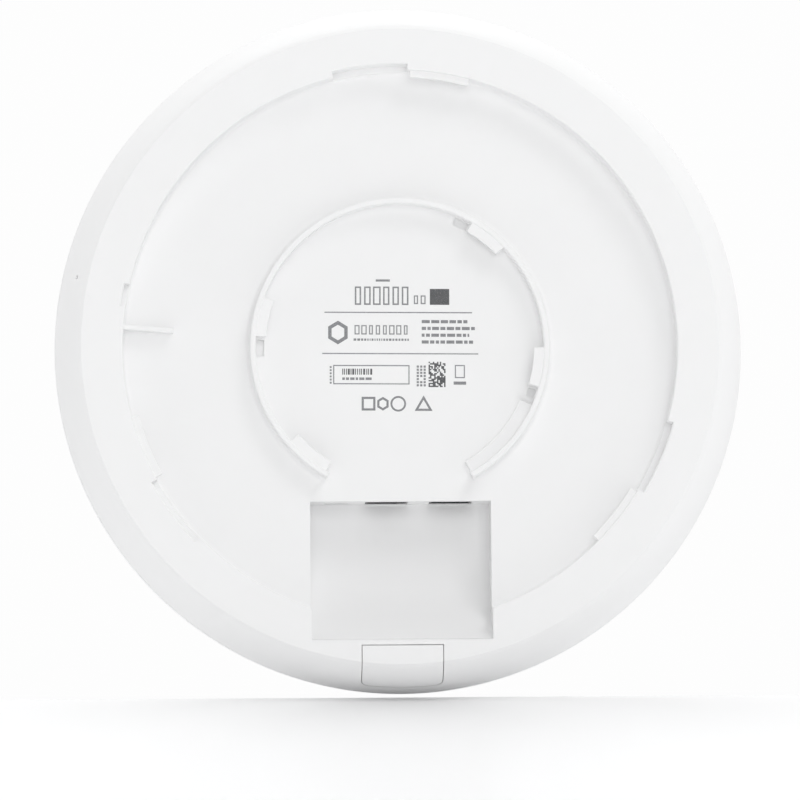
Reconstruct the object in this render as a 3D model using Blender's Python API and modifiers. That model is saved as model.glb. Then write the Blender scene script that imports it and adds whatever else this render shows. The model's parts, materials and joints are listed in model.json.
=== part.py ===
"""Ceiling access point, seen from its rear: casing, port bay, boards, antennas and light ring.

Every part is modelled in a drawing frame: X right, Y up and Z out of the rear face, so a depth d inside
the case lies at Z = -d. One empty, "assembly", stands that frame upright, with the rear facing -Y.
All sizes are in metres.
"""

import math

import bmesh
import bpy
from mathutils import Matrix, Vector

# Casing
CASE_RADIUS = 0.110
CASE_DEPTH = 0.048
COVER_WALL = 0.0022
BAND_WIDTH = 0.008
BAND_KNEE = (0.80, 0.30)
RING_WIDTH = 0.0135
RECESS_DEPTH = 0.009
RECESS_FILLET = 0.0008
SEAM_DEPTH = 0.0172
EQUATOR_DEPTH = 0.019
DOME_POWER = 2.2
LIP_HEIGHT = 0.0048
SEAM_STEP = 0.0031
SHOULDER_SHARE = 0.4
LIP_ROOT_SHARE = 0.72
SNAP_COUNT = 6
SNAP_WIDTH_DEG = 9.0
SNAP_BITE = 0.0006
SNAP_HEIGHT = 0.0010

# Bayonet socket in the recess, angles clockwise from the top as seen from behind
POCKET_ANGLES = ((346.5, 362.0), (106.0, 121.5), (226.5, 241.5))
LUG_ANGLES = ((2.5, 15.0), (122.0, 135.0), (242.0, 255.5))
POCKET_STEP = 0.0020
POCKET_BACK_DEG = 1.6
LUG_REACH = 0.0022
LUG_TOP_DEPTH = 0.0010
LUG_THICKNESS = 0.0022
STOP_RIB_LENGTH = 0.0162
STOP_RIB_WIDTH = 0.0016
STOP_RIB_HEIGHT = 0.0042
STOP_RIB_ANGLE = 274.5
RELEASE_NOTCH_ANGLES = (278.4, 283.2)
RELEASE_NOTCH_STEP = 0.0016
RELEASE_NOTCH_DEPTH = 0.0062
RELEASE_HOLE_ANGLE = 282.5
RELEASE_HOLE_RADIUS = 0.0007
RELEASE_HOLE_DEPTH = 0.0042

# Raised hub ring in the middle of the recess
HUB_INNER_RADIUS = 0.046
HUB_WALL = 0.0019
HUB_HEIGHT = 0.0060
HUB_OPEN_FROM = 151.0
HUB_OPEN_TO = 209.5
HUB_LUG_ANGLES = ((30.5, 46.5), (90.5, 106.5), (211.0, 229.5), (274.5, 290.5))
HUB_LUG_REACH = 0.0032
HUB_LUG_THICKNESS = 0.0020
HUB_LEDGE_ANGLES = (113.5, 150.5)
HUB_LEDGE_REACH = 0.0042
HUB_LEDGE_HEIGHT = 0.0016

# Port bay
BAY_HALF_WIDTH = 0.0289
BAY_TOP = 0.049
BAY_DEPTH = 0.024
BAY_FLAT = 0.004
RAMP_POWER = 3.6
BAY_END_MARGIN = 0.008
BAY_WALL = 0.0022
PORT_CENTRES = (-0.0043, 0.0162)
PORT_WIDTH = 0.0137
PORT_HEIGHT = 0.0108
RESET_CENTRE = -0.0203

# Cable exit at the bottom of the rim
EXIT_HALF_WIDTH = 0.0131
EXIT_TOP_MARGIN = 0.0065
EXIT_DEPTH = 0.011
EXIT_CORNER = 0.003
EXIT_WALL = 0.0018

# Ethernet jacks
JACK_WIDTH = 0.0160
JACK_LENGTH = 0.0215
JACK_SHELL = 0.0006
INSERT_WALL = 0.0012

# Reset button and its switch
BUTTON_WIDTH = 0.0070
BUTTON_HEIGHT = 0.0036
BUTTON_STEM = 0.0042
BUTTON_TRAVEL = 0.0005
BUTTON_FLANGE = 0.0012
BUTTON_RECESS = 0.0008
SWITCH_WIDTH = 0.0072
SWITCH_LENGTH = 0.0040
SWITCH_HEIGHT = 0.0075

# Boards, shields and chips
BOARD_THICKNESS = 0.0016
BOARD_EDGE_MARGIN = 0.003
JACK_HEIGHT = 0.0132
CHIP_HEIGHT = 0.0012
SHIELD_HEIGHT = 0.0032
SHIELD_WALL = 0.0005
PAD_THICKNESS = 0.0010
PAD_MARGIN = 0.002
SPREADER_THICKNESS = 0.0020
FIN_WIDTH = 0.0014
FIN_PITCH = 0.0140
FIN_COUNT = 7
FIN_MARGIN = 0.004
SPREADER_RADIUS = 0.062

# Screws and bosses
BOSS_INSET = 0.0080
BOSS_RADIUS = 0.0034
SCREW_RADIUS = 0.0015
SCREW_LENGTH = 0.0100
HEAD_RADIUS = 0.0028
HEAD_HEIGHT = 0.0017
BOARD_SCREW_ANGLES = (45.0, 135.0, 225.0, 315.0)
PLATE_SCREW_ANGLES = (0.0, 120.0, 240.0)

# Antennas and their ground plate
PLATE_THICKNESS = 0.0008
PLATE_GAP = 0.0028
PLATE_INSET = 0.002
ANTENNA_ANGLES = (30.0, 150.0, 210.0, 330.0)
ANTENNA_RADIUS = 0.062
ANTENNA_LENGTH = 0.030
ANTENNA_WIDTH = 0.014
ANTENNA_SHEET = 0.0005
ANTENNA_LEG_PLACES = {"short": -0.38, "feed": -0.12}
ANTENNA_SLOT_SHARE = 0.8
LEAD_RADIUS = 0.0006
LEAD_HOLE_RADIUS = 0.0022
LEAD_RISE = 0.0022
LEAD_STEPS = 12

# Light ring in the dome
LIGHT_INNER_RADIUS = 0.0375
LIGHT_WIDTH = 0.0030
LIGHT_HEIGHT = 0.0028
GROOVE_DEPTH = 0.0006
LED_BOARD_MARGIN = 0.0025
LED_BOARD_THICKNESS = 0.0012
LED_SIZE = 0.0020
LED_HEIGHT = 0.0008
LED_ANGLES = (45.0, 135.0, 225.0, 315.0)
PEDESTAL_RADIUS = 0.016
PEDESTAL_WALL = 0.0016
RIBBON_WIDTH = 0.006
RIBBON_THICKNESS = 0.0003
RIBBON_BELOW = 0.0235
RIBBON_CLEARANCE = 0.0025

# Fits
GAP = 0.0003
OVERSHOOT = 0.002
BURY = 0.0006
CASE_STEPS = 72
DOME_STEPS = 14
BAND_STEPS = 7
SMALL_STEPS = 20
SECTOR_STEP_DEG = 3.75

# Worked out from the sizes above
RING_OUTER = CASE_RADIUS - BAND_WIDTH
RECESS_RADIUS = RING_OUTER - RING_WIDTH
FLOOR_UNDERSIDE = RECESS_DEPTH + COVER_WALL
JACK_TOP = FLOOR_UNDERSIDE + GAP
BOARD_REAR = JACK_TOP + JACK_HEIGHT + GAP
BOARD_FRONT = BOARD_REAR + BOARD_THICKNESS
BOARD_RADIUS = RECESS_RADIUS - BOARD_EDGE_MARGIN
BOSS_CIRCLE = RECESS_RADIUS - BOSS_INSET
BAY_END = RING_OUTER - BAY_END_MARGIN
EXIT_TOP = RING_OUTER - EXIT_TOP_MARGIN
JACK_FACE = BAY_TOP - BAY_WALL - GAP
PORT_DEPTH = JACK_TOP + JACK_HEIGHT / 2
RESET_DEPTH = BOARD_REAR - GAP - SWITCH_HEIGHT + BUTTON_HEIGHT / 2 + GAP
PLATE_REAR = BOARD_FRONT + PLATE_GAP
PLATE_FRONT = PLATE_REAR + PLATE_THICKNESS
PLATE_RADIUS = BOARD_RADIUS - PLATE_INSET
LIP_OUTER = CASE_RADIUS - SEAM_STEP
SPREADER_REAR = BOARD_REAR - GAP - SHIELD_HEIGHT - 2 * GAP - PAD_THICKNESS - SPREADER_THICKNESS

COLOURS = {
    "white_plastic": ((0.86, 0.87, 0.88), 0.45, 0.0),
    "dome_plastic": ((0.88, 0.89, 0.90), 0.35, 0.0),
    "button_plastic": ((0.75, 0.76, 0.78), 0.40, 0.0),
    "black_plastic": ((0.03, 0.03, 0.035), 0.50, 0.0),
    "chip_resin": ((0.04, 0.04, 0.045), 0.55, 0.0),
    "board_green": ((0.03, 0.16, 0.08), 0.40, 0.0),
    "led_board_white": ((0.80, 0.82, 0.80), 0.45, 0.0),
    "tin_plate": ((0.72, 0.73, 0.74), 0.30, 1.0),
    "die_cast_aluminium": ((0.62, 0.63, 0.64), 0.45, 1.0),
    "steel_zinc": ((0.66, 0.67, 0.69), 0.30, 1.0),
    "ferrite": ((0.09, 0.09, 0.10), 0.65, 0.0),
    "capacitor_sleeve": ((0.55, 0.56, 0.58), 0.30, 1.0),
    "pad_grey": ((0.45, 0.50, 0.60), 0.85, 0.0),
    "coax_jacket": ((0.10, 0.10, 0.11), 0.45, 0.0),
    "ribbon_film": ((0.55, 0.32, 0.10), 0.40, 0.0),
    "light_guide": ((0.90, 0.93, 0.96), 0.15, 0.0),
    "led_lens": ((0.95, 0.93, 0.75), 0.20, 0.0),
}


def clear_scene():
    for obj in list(bpy.data.objects):
        bpy.data.objects.remove(obj, do_unlink=True)


def new_collection(name, hidden=False):
    collection = bpy.data.collections.new(name)
    bpy.context.scene.collection.children.link(collection)
    collection.hide_render = hidden
    return collection


def make_material(name):
    colour, roughness, metallic = COLOURS[name]
    material = bpy.data.materials.get(name) or bpy.data.materials.new(name)
    material.use_nodes = True
    shader = material.node_tree.nodes["Principled BSDF"]
    shader.inputs["Base Color"].default_value = (*colour, 1.0)
    shader.inputs["Roughness"].default_value = roughness
    shader.inputs["Metallic"].default_value = metallic
    return material


clear_scene()
PARTS = new_collection("access_point")
CUTTERS = new_collection("cutters", hidden=True)
ASSEMBLY = bpy.data.objects.new("assembly", None)
ASSEMBLY.rotation_euler = (math.radians(90), 0, 0)
PARTS.objects.link(ASSEMBLY)


def finish_part(obj, material):
    """Puts a piece in the parts collection, under the assembly, with its material."""
    for collection in list(obj.users_collection):
        collection.objects.unlink(obj)
    PARTS.objects.link(obj)
    obj.parent = ASSEMBLY
    obj.data.materials.clear()
    obj.data.materials.append(make_material(material))
    return obj


def finish_cutter(obj):
    """Hides a helper that only cuts or joins, and keeps it under the assembly."""
    for collection in list(obj.users_collection):
        collection.objects.unlink(obj)
    CUTTERS.objects.link(obj)
    obj.parent = ASSEMBLY
    obj.hide_render = True
    obj.display_type = "WIRE"
    return obj


def object_of(name, bm):
    mesh = bpy.data.meshes.new(name)
    bm.to_mesh(mesh)
    bm.free()
    obj = bpy.data.objects.new(name, mesh)
    bpy.context.scene.collection.objects.link(obj)
    return obj


def block(name, centre, size):
    """A box, by its centre and its sizes along X, Y and Z."""
    bm = bmesh.new()
    bmesh.ops.create_cube(bm, size=1.0)
    bmesh.ops.scale(bm, vec=size, verts=bm.verts)
    obj = object_of(name, bm)
    obj.location = centre
    return obj


def rod(name, centre, radius, length, steps=SMALL_STEPS, taper=1.0):
    """A cylinder along Z, or a cone whose end at -Z has radius times taper."""
    bm = bmesh.new()
    bmesh.ops.create_cone(
        bm,
        cap_ends=True,
        segments=steps,
        radius1=radius * taper,
        radius2=radius,
        depth=length,
    )
    obj = object_of(name, bm)
    obj.location = centre
    return obj


def mesh_of_curve(obj):
    """Makes a curve object a mesh object of the same name, with its caps welded on."""
    graph = bpy.context.evaluated_depsgraph_get()
    mesh = bpy.data.meshes.new_from_object(obj.evaluated_get(graph))
    bm = bmesh.new()
    bm.from_mesh(mesh)
    bmesh.ops.remove_doubles(bm, verts=bm.verts, dist=1e-6)
    bmesh.ops.recalc_face_normals(bm, faces=bm.faces)
    bm.to_mesh(mesh)
    bm.free()
    name = obj.name
    place = obj.matrix_world.copy()
    bpy.data.objects.remove(obj, do_unlink=True)
    made = bpy.data.objects.new(name, mesh)
    made.matrix_world = place
    bpy.context.scene.collection.objects.link(made)
    return made


def plate(name, outlines, low, high, turn=(0.0, 0.0, 0.0)):
    """A flat sheet between local Z low and high. The first outline is its edge, the others are holes."""
    curve = bpy.data.curves.new(name, "CURVE")
    curve.dimensions = "2D"
    curve.fill_mode = "BOTH"
    curve.extrude = (high - low) / 2
    for outline in outlines:
        spline = curve.splines.new("POLY")
        spline.points.add(len(outline) - 1)
        for point, (x, y) in zip(spline.points, outline):
            point.co = (x, y, 0.0, 1.0)
        spline.use_cyclic_u = True
    obj = bpy.data.objects.new(name, curve)
    bpy.context.scene.collection.objects.link(obj)
    bpy.context.view_layer.update()
    made = mesh_of_curve(obj)
    made.data.transform(Matrix.Translation((0.0, 0.0, (high + low) / 2)))
    made.rotation_euler = turn
    return made


SIDE_PLANE = (math.radians(90), 0.0, math.radians(90))
BOTTOM_PLANE = (math.radians(90), 0.0, 0.0)


def arc(radius, start, end, steps, centre=(0.0, 0.0)):
    """Points along an arc, by angles in degrees clockwise from the top."""
    points = []
    for step in range(steps + 1):
        angle = math.radians(start + (end - start) * step / steps)
        points.append((centre[0] + radius * math.sin(angle), centre[1] + radius * math.cos(angle)))
    return points


def circle(radius, steps=SMALL_STEPS, centre=(0.0, 0.0)):
    return arc(radius, 0.0, 360.0 * (steps - 1) / steps, steps - 1, centre)


def rounded_rectangle(left, right, bottom, top, radius, steps=4):
    corners = (
        ((right - radius, top - radius), 0.0),
        ((right - radius, bottom + radius), 90.0),
        ((left + radius, bottom + radius), 180.0),
        ((left + radius, top - radius), 270.0),
    )
    points = []
    for centre, start in corners:
        points += arc(radius, start, start + 90.0, steps, centre)
    return points


def sector(name, inner, outer, start, end, low_depth, high_depth):
    """A block between two radii, two angles and two depths."""
    steps = max(2, round((end - start) / SECTOR_STEP_DEG))
    outline = arc(outer, start, end, steps) + list(reversed(arc(inner, start, end, steps)))
    return plate(name, [outline], -high_depth, -low_depth)


def at(radius, angle, depth):
    """The place at a radius, an angle clockwise from the top, and a depth."""
    turn = math.radians(angle)
    return (radius * math.sin(turn), radius * math.cos(turn), -depth)


def turned(name, profile, steps=CASE_STEPS):
    """A profile of (radius, depth) turned about the axis. It runs down the outer side, rear to front."""
    mesh = bpy.data.meshes.new(name)
    points = [(radius, 0.0, -depth) for radius, depth in profile]
    edges = [(i, i + 1) for i in range(len(points) - 1)]
    if profile[0][0] > 0:
        edges.append((len(points) - 1, 0))
    mesh.from_pydata(points, edges, [])
    obj = bpy.data.objects.new(name, mesh)
    bpy.context.scene.collection.objects.link(obj)
    screw = obj.modifiers.new("turn", "SCREW")
    screw.axis = "Z"
    screw.steps = steps
    screw.render_steps = steps
    screw.use_merge_vertices = True
    screw.merge_threshold = 1e-5
    screw.use_smooth_shade = True
    return obj


def combine(obj, other, operation):
    """Cuts, joins or crosses obj with a helper."""
    finish_cutter(other)
    modifier = obj.modifiers.new(other.name, "BOOLEAN")
    modifier.operation = operation
    modifier.solver = "EXACT"
    modifier.object = other
    return obj


def cut(obj, *others):
    for other in others:
        combine(obj, other, "DIFFERENCE")


def join(obj, *others):
    for other in others:
        combine(obj, other, "UNION")


def band_curve(steps):
    """The side band's outer surface, from the ring's edge to the equator, as (radius, depth)."""
    start = Vector((RING_OUTER, 0.0))
    knee = Vector((RING_OUTER + BAND_KNEE[0] * BAND_WIDTH, BAND_KNEE[1] * EQUATOR_DEPTH))
    end = Vector((CASE_RADIUS, EQUATOR_DEPTH))
    points = []
    for step in range(steps + 1):
        t = step / steps
        points.append(start * (1 - t) ** 2 + knee * 2 * t * (1 - t) + end * t**2)
    return points


def radius_at(depth):
    """The band's outer radius at a depth, between its curve's points."""
    points = band_curve(40)
    for first, second in zip(points, points[1:]):
        if first.y <= depth <= second.y:
            share = (depth - first.y) / (second.y - first.y)
            return first.x + (second.x - first.x) * share
    return CASE_RADIUS


def dome_depth(radius):
    """The depth of the dome's outer surface at a radius."""
    rise = max(0.0, 1 - (radius / CASE_RADIUS) ** DOME_POWER) ** (1 / DOME_POWER)
    return EQUATOR_DEPTH + (CASE_DEPTH - EQUATOR_DEPTH) * rise


def rear_cover_profile():
    outer = [(0.0, RECESS_DEPTH), (RECESS_RADIUS - RECESS_FILLET, RECESS_DEPTH)]
    outer += [(RECESS_RADIUS, RECESS_DEPTH - RECESS_FILLET), (RECESS_RADIUS, RECESS_FILLET / 2)]
    outer += [(RECESS_RADIUS + RECESS_FILLET / 2, 0.0)]
    outer += [(p.x, p.y) for p in band_curve(BAND_STEPS) if p.y < SEAM_DEPTH - GAP]
    outer += [(radius_at(SEAM_DEPTH), SEAM_DEPTH)]
    lip_end = SEAM_DEPTH + LIP_HEIGHT
    lip_inner = LIP_OUTER - COVER_WALL
    inner = [(LIP_OUTER, SEAM_DEPTH), (LIP_OUTER, lip_end), (lip_inner, lip_end)]
    inner += [(lip_inner, SEAM_DEPTH * LIP_ROOT_SHARE)]
    inner += [(RING_OUTER - COVER_WALL * SHOULDER_SHARE, COVER_WALL)]
    inner += [(RECESS_RADIUS + COVER_WALL, COVER_WALL)]
    inner += [(RECESS_RADIUS + COVER_WALL, FLOOR_UNDERSIDE), (0.0, FLOOR_UNDERSIDE)]
    return outer + inner


def ramp_curve(offset, steps=14):
    """The bay floor as (distance below the axis, depth), each point moved outwards by offset."""
    start = BAY_TOP + BAY_FLAT
    points = []
    for step in range(steps + 1):
        t = step / steps
        below = start + (BAY_END - start) * t
        depth = BAY_DEPTH * (1 - t**RAMP_POWER)
        slope = -BAY_DEPTH * RAMP_POWER * t ** (RAMP_POWER - 1) / (BAY_END - start)
        normal = Vector((-slope, 1.0)).normalized()
        points.append((below + normal.x * offset, depth + normal.y * offset))
    return points


def bay_solid(name, offset, rear_depth, half_width):
    """The bay's hollow (offset 0), or the hollow with its wall around it."""
    outline = [(-(BAY_TOP - offset), -rear_depth), (-(BAY_TOP - offset), -(BAY_DEPTH + offset))]
    outline += [(-below, -depth) for below, depth in ramp_curve(offset)]
    outline += [(outline[-1][0], -rear_depth)]
    return plate(name, [outline], -half_width, half_width, SIDE_PLANE)


def exit_outline(margin):
    """The cable exit's U shape in X and Z, grown by margin on its closed sides."""
    half = EXIT_HALF_WIDTH + margin
    radius = EXIT_CORNER + margin
    depth = EXIT_DEPTH + margin
    right = arc(radius, 90.0, 180.0, 5, (half - radius, radius - depth))
    left = arc(radius, 180.0, 270.0, 5, (radius - half, radius - depth))
    return [(half, OVERSHOOT)] + right + left + [(-half, OVERSHOOT)]


def exit_prism(name, margin, top, bottom):
    """The cable exit's outline, run along Y between two distances below the axis."""
    return plate(name, [exit_outline(margin)], top, bottom, BOTTOM_PLANE)


def add_bayonet(cover):
    for index, (start, end) in enumerate(POCKET_ANGLES):
        back = sector(
            f"pocket_back_{index}",
            RECESS_RADIUS + BURY,
            RECESS_RADIUS + POCKET_STEP + COVER_WALL,
            start - POCKET_BACK_DEG,
            end + POCKET_BACK_DEG,
            COVER_WALL / 2,
            FLOOR_UNDERSIDE,
        )
        join(cover, back)
    for index, (start, end) in enumerate(POCKET_ANGLES):
        pocket = sector(
            f"pocket_{index}",
            RECESS_RADIUS - 2 * RECESS_FILLET,
            RECESS_RADIUS + POCKET_STEP,
            start,
            end,
            -OVERSHOOT,
            RECESS_DEPTH - RECESS_FILLET * 1.5,
        )
        cut(cover, pocket)
    for index, (start, end) in enumerate(LUG_ANGLES):
        lug = sector(
            f"lug_{index}",
            RECESS_RADIUS - LUG_REACH,
            RECESS_RADIUS + BURY,
            start,
            end,
            LUG_TOP_DEPTH,
            LUG_TOP_DEPTH + LUG_THICKNESS,
        )
        join(cover, lug)


def add_stop_rib(cover):
    """The radial rib on the recess floor that the turned bracket runs against."""
    length = STOP_RIB_LENGTH + BURY
    middle = RECESS_RADIUS + BURY - length / 2
    rib = block(
        "stop_rib",
        at(middle, STOP_RIB_ANGLE, RECESS_DEPTH - (STOP_RIB_HEIGHT - BURY) / 2),
        (STOP_RIB_WIDTH, length, STOP_RIB_HEIGHT + BURY),
    )
    rib.rotation_euler = (0.0, 0.0, -math.radians(STOP_RIB_ANGLE))
    join(cover, rib)


def add_release_notch(cover):
    """A notch in the recess wall, behind the release hole, where the bracket's lock tab springs out."""
    start, end = RELEASE_NOTCH_ANGLES
    back = sector(
        "release_back",
        RECESS_RADIUS + BURY,
        RECESS_RADIUS + RELEASE_NOTCH_STEP + COVER_WALL,
        start - POCKET_BACK_DEG,
        end + POCKET_BACK_DEG,
        COVER_WALL / 2,
        FLOOR_UNDERSIDE,
    )
    notch = sector(
        "release_notch",
        RECESS_RADIUS - 2 * RECESS_FILLET,
        RECESS_RADIUS + RELEASE_NOTCH_STEP,
        start,
        end,
        -OVERSHOOT,
        RELEASE_NOTCH_DEPTH,
    )
    join(cover, back)
    cut(cover, notch)


def add_hub(cover):
    start = HUB_OPEN_TO
    end = 360.0 + HUB_OPEN_FROM
    top = RECESS_DEPTH - HUB_HEIGHT
    hub = sector(
        "hub",
        HUB_INNER_RADIUS,
        HUB_INNER_RADIUS + HUB_WALL,
        start,
        end,
        top,
        RECESS_DEPTH + BURY,
    )
    join(cover, hub)
    for index, (first, last) in enumerate(HUB_LUG_ANGLES):
        lug = sector(
            f"hub_lug_{index}",
            HUB_INNER_RADIUS - HUB_LUG_REACH,
            HUB_INNER_RADIUS + BURY,
            first,
            last,
            top + GAP,
            top + GAP + HUB_LUG_THICKNESS,
        )
        join(cover, lug)
    ledge = sector(
        "hub_ledge",
        HUB_INNER_RADIUS - HUB_LEDGE_REACH,
        HUB_INNER_RADIUS + BURY,
        *HUB_LEDGE_ANGLES,
        RECESS_DEPTH - HUB_LEDGE_HEIGHT,
        RECESS_DEPTH + BURY,
    )
    join(cover, ledge)


def add_bay(cover):
    tray = bay_solid("bay_tray", BAY_WALL, COVER_WALL / 3, BAY_HALF_WIDTH + BAY_WALL)
    radius = RECESS_RADIUS + GAP
    floor = RECESS_DEPTH + GAP
    profile = [(0.0, -OVERSHOOT), (radius, -OVERSHOOT), (radius, floor), (0.0, floor)]
    cut(tray, turned("recess_room", profile))
    join(cover, tray)
    hollow = bay_solid("bay_hollow", 0.0, -OVERSHOOT, BAY_HALF_WIDTH)
    cut(cover, hollow)
    for index, centre in enumerate(PORT_CENTRES):
        port = block(
            f"port_{index}",
            (centre, -(BAY_TOP - BAY_WALL / 2), -PORT_DEPTH),
            (PORT_WIDTH, BAY_WALL + 2 * OVERSHOOT, PORT_HEIGHT),
        )
        cut(cover, port)
    window = block(
        "reset_window",
        (RESET_CENTRE, -(BAY_TOP - BAY_WALL / 2), -RESET_DEPTH),
        (BUTTON_WIDTH + 2 * GAP, BAY_WALL + 2 * OVERSHOOT, BUTTON_HEIGHT + 2 * GAP),
    )
    cut(cover, window)


def rim_envelope():
    """The solid that the rim's walls may fill: half a wall inside its outer surface."""
    inset = COVER_WALL / 2
    inner = RECESS_RADIUS + COVER_WALL + GAP
    low = EXIT_DEPTH + EXIT_WALL + OVERSHOOT
    profile = [(inner, inset), (RING_OUTER - inset, inset)]
    profile += [(p.x - inset, p.y) for p in band_curve(BAND_STEPS) if inset < p.y < low]
    profile += [(radius_at(low) - inset, low), (inner, low)]
    return turned("rim_envelope", profile)


def add_cable_exit(cover):
    box = exit_prism("exit_box", EXIT_WALL, EXIT_TOP - EXIT_WALL, CASE_RADIUS)
    combine(box, rim_envelope(), "INTERSECT")
    join(cover, box)
    notch = exit_prism("exit_notch", 0.0, EXIT_TOP, CASE_RADIUS + OVERSHOOT)
    cut(cover, notch)


def add_bosses(cover):
    low = FLOOR_UNDERSIDE - BURY
    high = BOARD_REAR - GAP
    for index, angle in enumerate(BOARD_SCREW_ANGLES + PLATE_SCREW_ANGLES):
        boss = rod(
            f"boss_{index}", at(BOSS_CIRCLE, angle, (low + high) / 2), BOSS_RADIUS, high - low
        )
        join(cover, boss)
        pilot_low = FLOOR_UNDERSIDE + GAP
        pilot = rod(
            f"pilot_{index}",
            at(BOSS_CIRCLE, angle, (pilot_low + high + OVERSHOOT) / 2),
            SCREW_RADIUS + GAP,
            high + OVERSHOOT - pilot_low,
        )
        cut(cover, pilot)


def add_release_hole(cover):
    """The pin hole at the side, through which a lock tab on the bracket is pushed in."""
    inner = RECESS_RADIUS - OVERSHOOT
    outer = CASE_RADIUS + OVERSHOOT
    hole = rod(
        "release_hole",
        at((inner + outer) / 2, RELEASE_HOLE_ANGLE, RELEASE_HOLE_DEPTH),
        RELEASE_HOLE_RADIUS,
        outer - inner,
        12,
    )
    hole.rotation_euler = (math.radians(90), 0, math.radians(180 - RELEASE_HOLE_ANGLE))
    cut(cover, hole)


def snap_sectors(name, inner, outer, low_depth, high_depth):
    made = []
    for index in range(SNAP_COUNT):
        middle = 360.0 * (index + 0.5) / SNAP_COUNT
        start = middle - SNAP_WIDTH_DEG / 2
        end = middle + SNAP_WIDTH_DEG / 2
        made.append(sector(f"{name}_{index}", inner, outer, start, end, low_depth, high_depth))
    return made


def make_rear_cover():
    cover = turned("rear_cover", rear_cover_profile())
    add_bay(cover)
    add_cable_exit(cover)
    add_bayonet(cover)
    add_hub(cover)
    add_stop_rib(cover)
    add_release_notch(cover)
    add_bosses(cover)
    add_release_hole(cover)
    low = SEAM_DEPTH + LIP_HEIGHT - SNAP_HEIGHT
    ridges = snap_sectors(
        "snap_ridge", LIP_OUTER - BURY, LIP_OUTER + SNAP_BITE, low, low + SNAP_HEIGHT - GAP / 2
    )
    join(cover, *ridges)
    finish_part(cover, "white_plastic")


def dome_radii(steps):
    """Radii from the rim to the axis, closer together where the dome bends more."""
    angles = [math.radians(90.0 * step / steps) for step in range(steps)]
    return [CASE_RADIUS * math.cos(angle) ** (2 / DOME_POWER) for angle in angles] + [0.0]


def dome_profile():
    inner_radius = LIP_OUTER + SNAP_BITE + GAP
    outer = [(radius, dome_depth(radius)) for radius in dome_radii(DOME_STEPS)]
    inner = []
    for radius in dome_radii(DOME_STEPS // 2):
        if radius < inner_radius - 2 * COVER_WALL:
            inner.append((radius * (1 - COVER_WALL / CASE_RADIUS), dome_depth(radius) - COVER_WALL))
    seam = SEAM_DEPTH + GAP
    shoulder = (inner_radius, SEAM_DEPTH + LIP_HEIGHT + GAP)
    inside = list(reversed(inner)) + [shoulder, (inner_radius, seam), (radius_at(seam), seam)]
    return inside + with_groove(outer)


def with_groove(outer):
    """The dome's outer points with the shallow groove over the light ring let in."""
    low = LIGHT_INNER_RADIUS
    high = LIGHT_INNER_RADIUS + LIGHT_WIDTH
    groove = [
        (high, dome_depth(high)),
        (high - GROOVE_DEPTH / 2, dome_depth(high) - GROOVE_DEPTH),
        (low + GROOVE_DEPTH / 2, dome_depth(low) - GROOVE_DEPTH),
        (low, dome_depth(low)),
    ]
    before = [p for p in outer if p[0] > high + GROOVE_DEPTH]
    after = [p for p in outer if p[0] < low - GROOVE_DEPTH]
    return before + groove + after


def make_front_dome():
    dome = turned("front_dome", dome_profile())
    high = SEAM_DEPTH + LIP_HEIGHT - SNAP_HEIGHT - GAP
    ledges = snap_sectors(
        "snap_ledge", LIP_OUTER + GAP, LIP_OUTER + SNAP_BITE + GAP + BURY, high - SNAP_HEIGHT, high
    )
    join(dome, *ledges)
    finish_part(dome, "dome_plastic")


def make_cable_cover():
    """The snap-in cover: the rim's own skin, cut to the cable exit's outline less a gap."""
    skin = [(EXIT_TOP - BURY, 0.0)]
    skin += [(p.x, p.y) for p in band_curve(BAND_STEPS) if p.y < EXIT_DEPTH]
    skin += [(radius_at(EXIT_DEPTH), EXIT_DEPTH), (radius_at(EXIT_DEPTH) - COVER_WALL, EXIT_DEPTH)]
    skin += [(RING_OUTER - COVER_WALL * SHOULDER_SHARE, COVER_WALL), (EXIT_TOP - BURY, COVER_WALL)]
    cover = turned("cable_cover", skin)
    outline = exit_prism("cover_outline", -GAP, EXIT_TOP + GAP, CASE_RADIUS + OVERSHOOT)
    combine(cover, outline, "INTERSECT")
    finish_part(cover, "white_plastic")


def make_reset_button():
    """A plunger with a flange behind the bay wall. Its origin lies on its line of travel."""
    front = BAY_TOP - BUTTON_RECESS
    back = BAY_TOP - BAY_WALL - GAP - BUTTON_FLANGE
    stem = block(
        "reset_button",
        (RESET_CENTRE, -(front + back) / 2, -RESET_DEPTH),
        (BUTTON_WIDTH, front - back, BUTTON_HEIGHT),
    )
    flange = block(
        "button_flange",
        (RESET_CENTRE, -(back + BUTTON_FLANGE / 2), -RESET_DEPTH),
        (BUTTON_WIDTH + 6 * GAP, BUTTON_FLANGE, BUTTON_HEIGHT + 4 * GAP),
    )
    nose = block(
        "button_nose",
        (RESET_CENTRE, -(back - BUTTON_STEM / 2 + BURY), -RESET_DEPTH),
        (BUTTON_WIDTH / 3, BUTTON_STEM, BUTTON_HEIGHT / 2),
    )
    join(stem, flange, nose)
    finish_part(stem, "button_plastic")


def make_reset_switch():
    back = BAY_TOP - BAY_WALL - GAP - BUTTON_FLANGE
    face = back + BURY - BUTTON_STEM - BUTTON_TRAVEL - GAP
    switch = block(
        "reset_switch",
        (RESET_CENTRE, -(face - SWITCH_LENGTH / 2), -(BOARD_REAR - GAP - SWITCH_HEIGHT / 2)),
        (SWITCH_WIDTH, SWITCH_LENGTH, SWITCH_HEIGHT),
    )
    finish_part(switch, "black_plastic")


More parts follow.
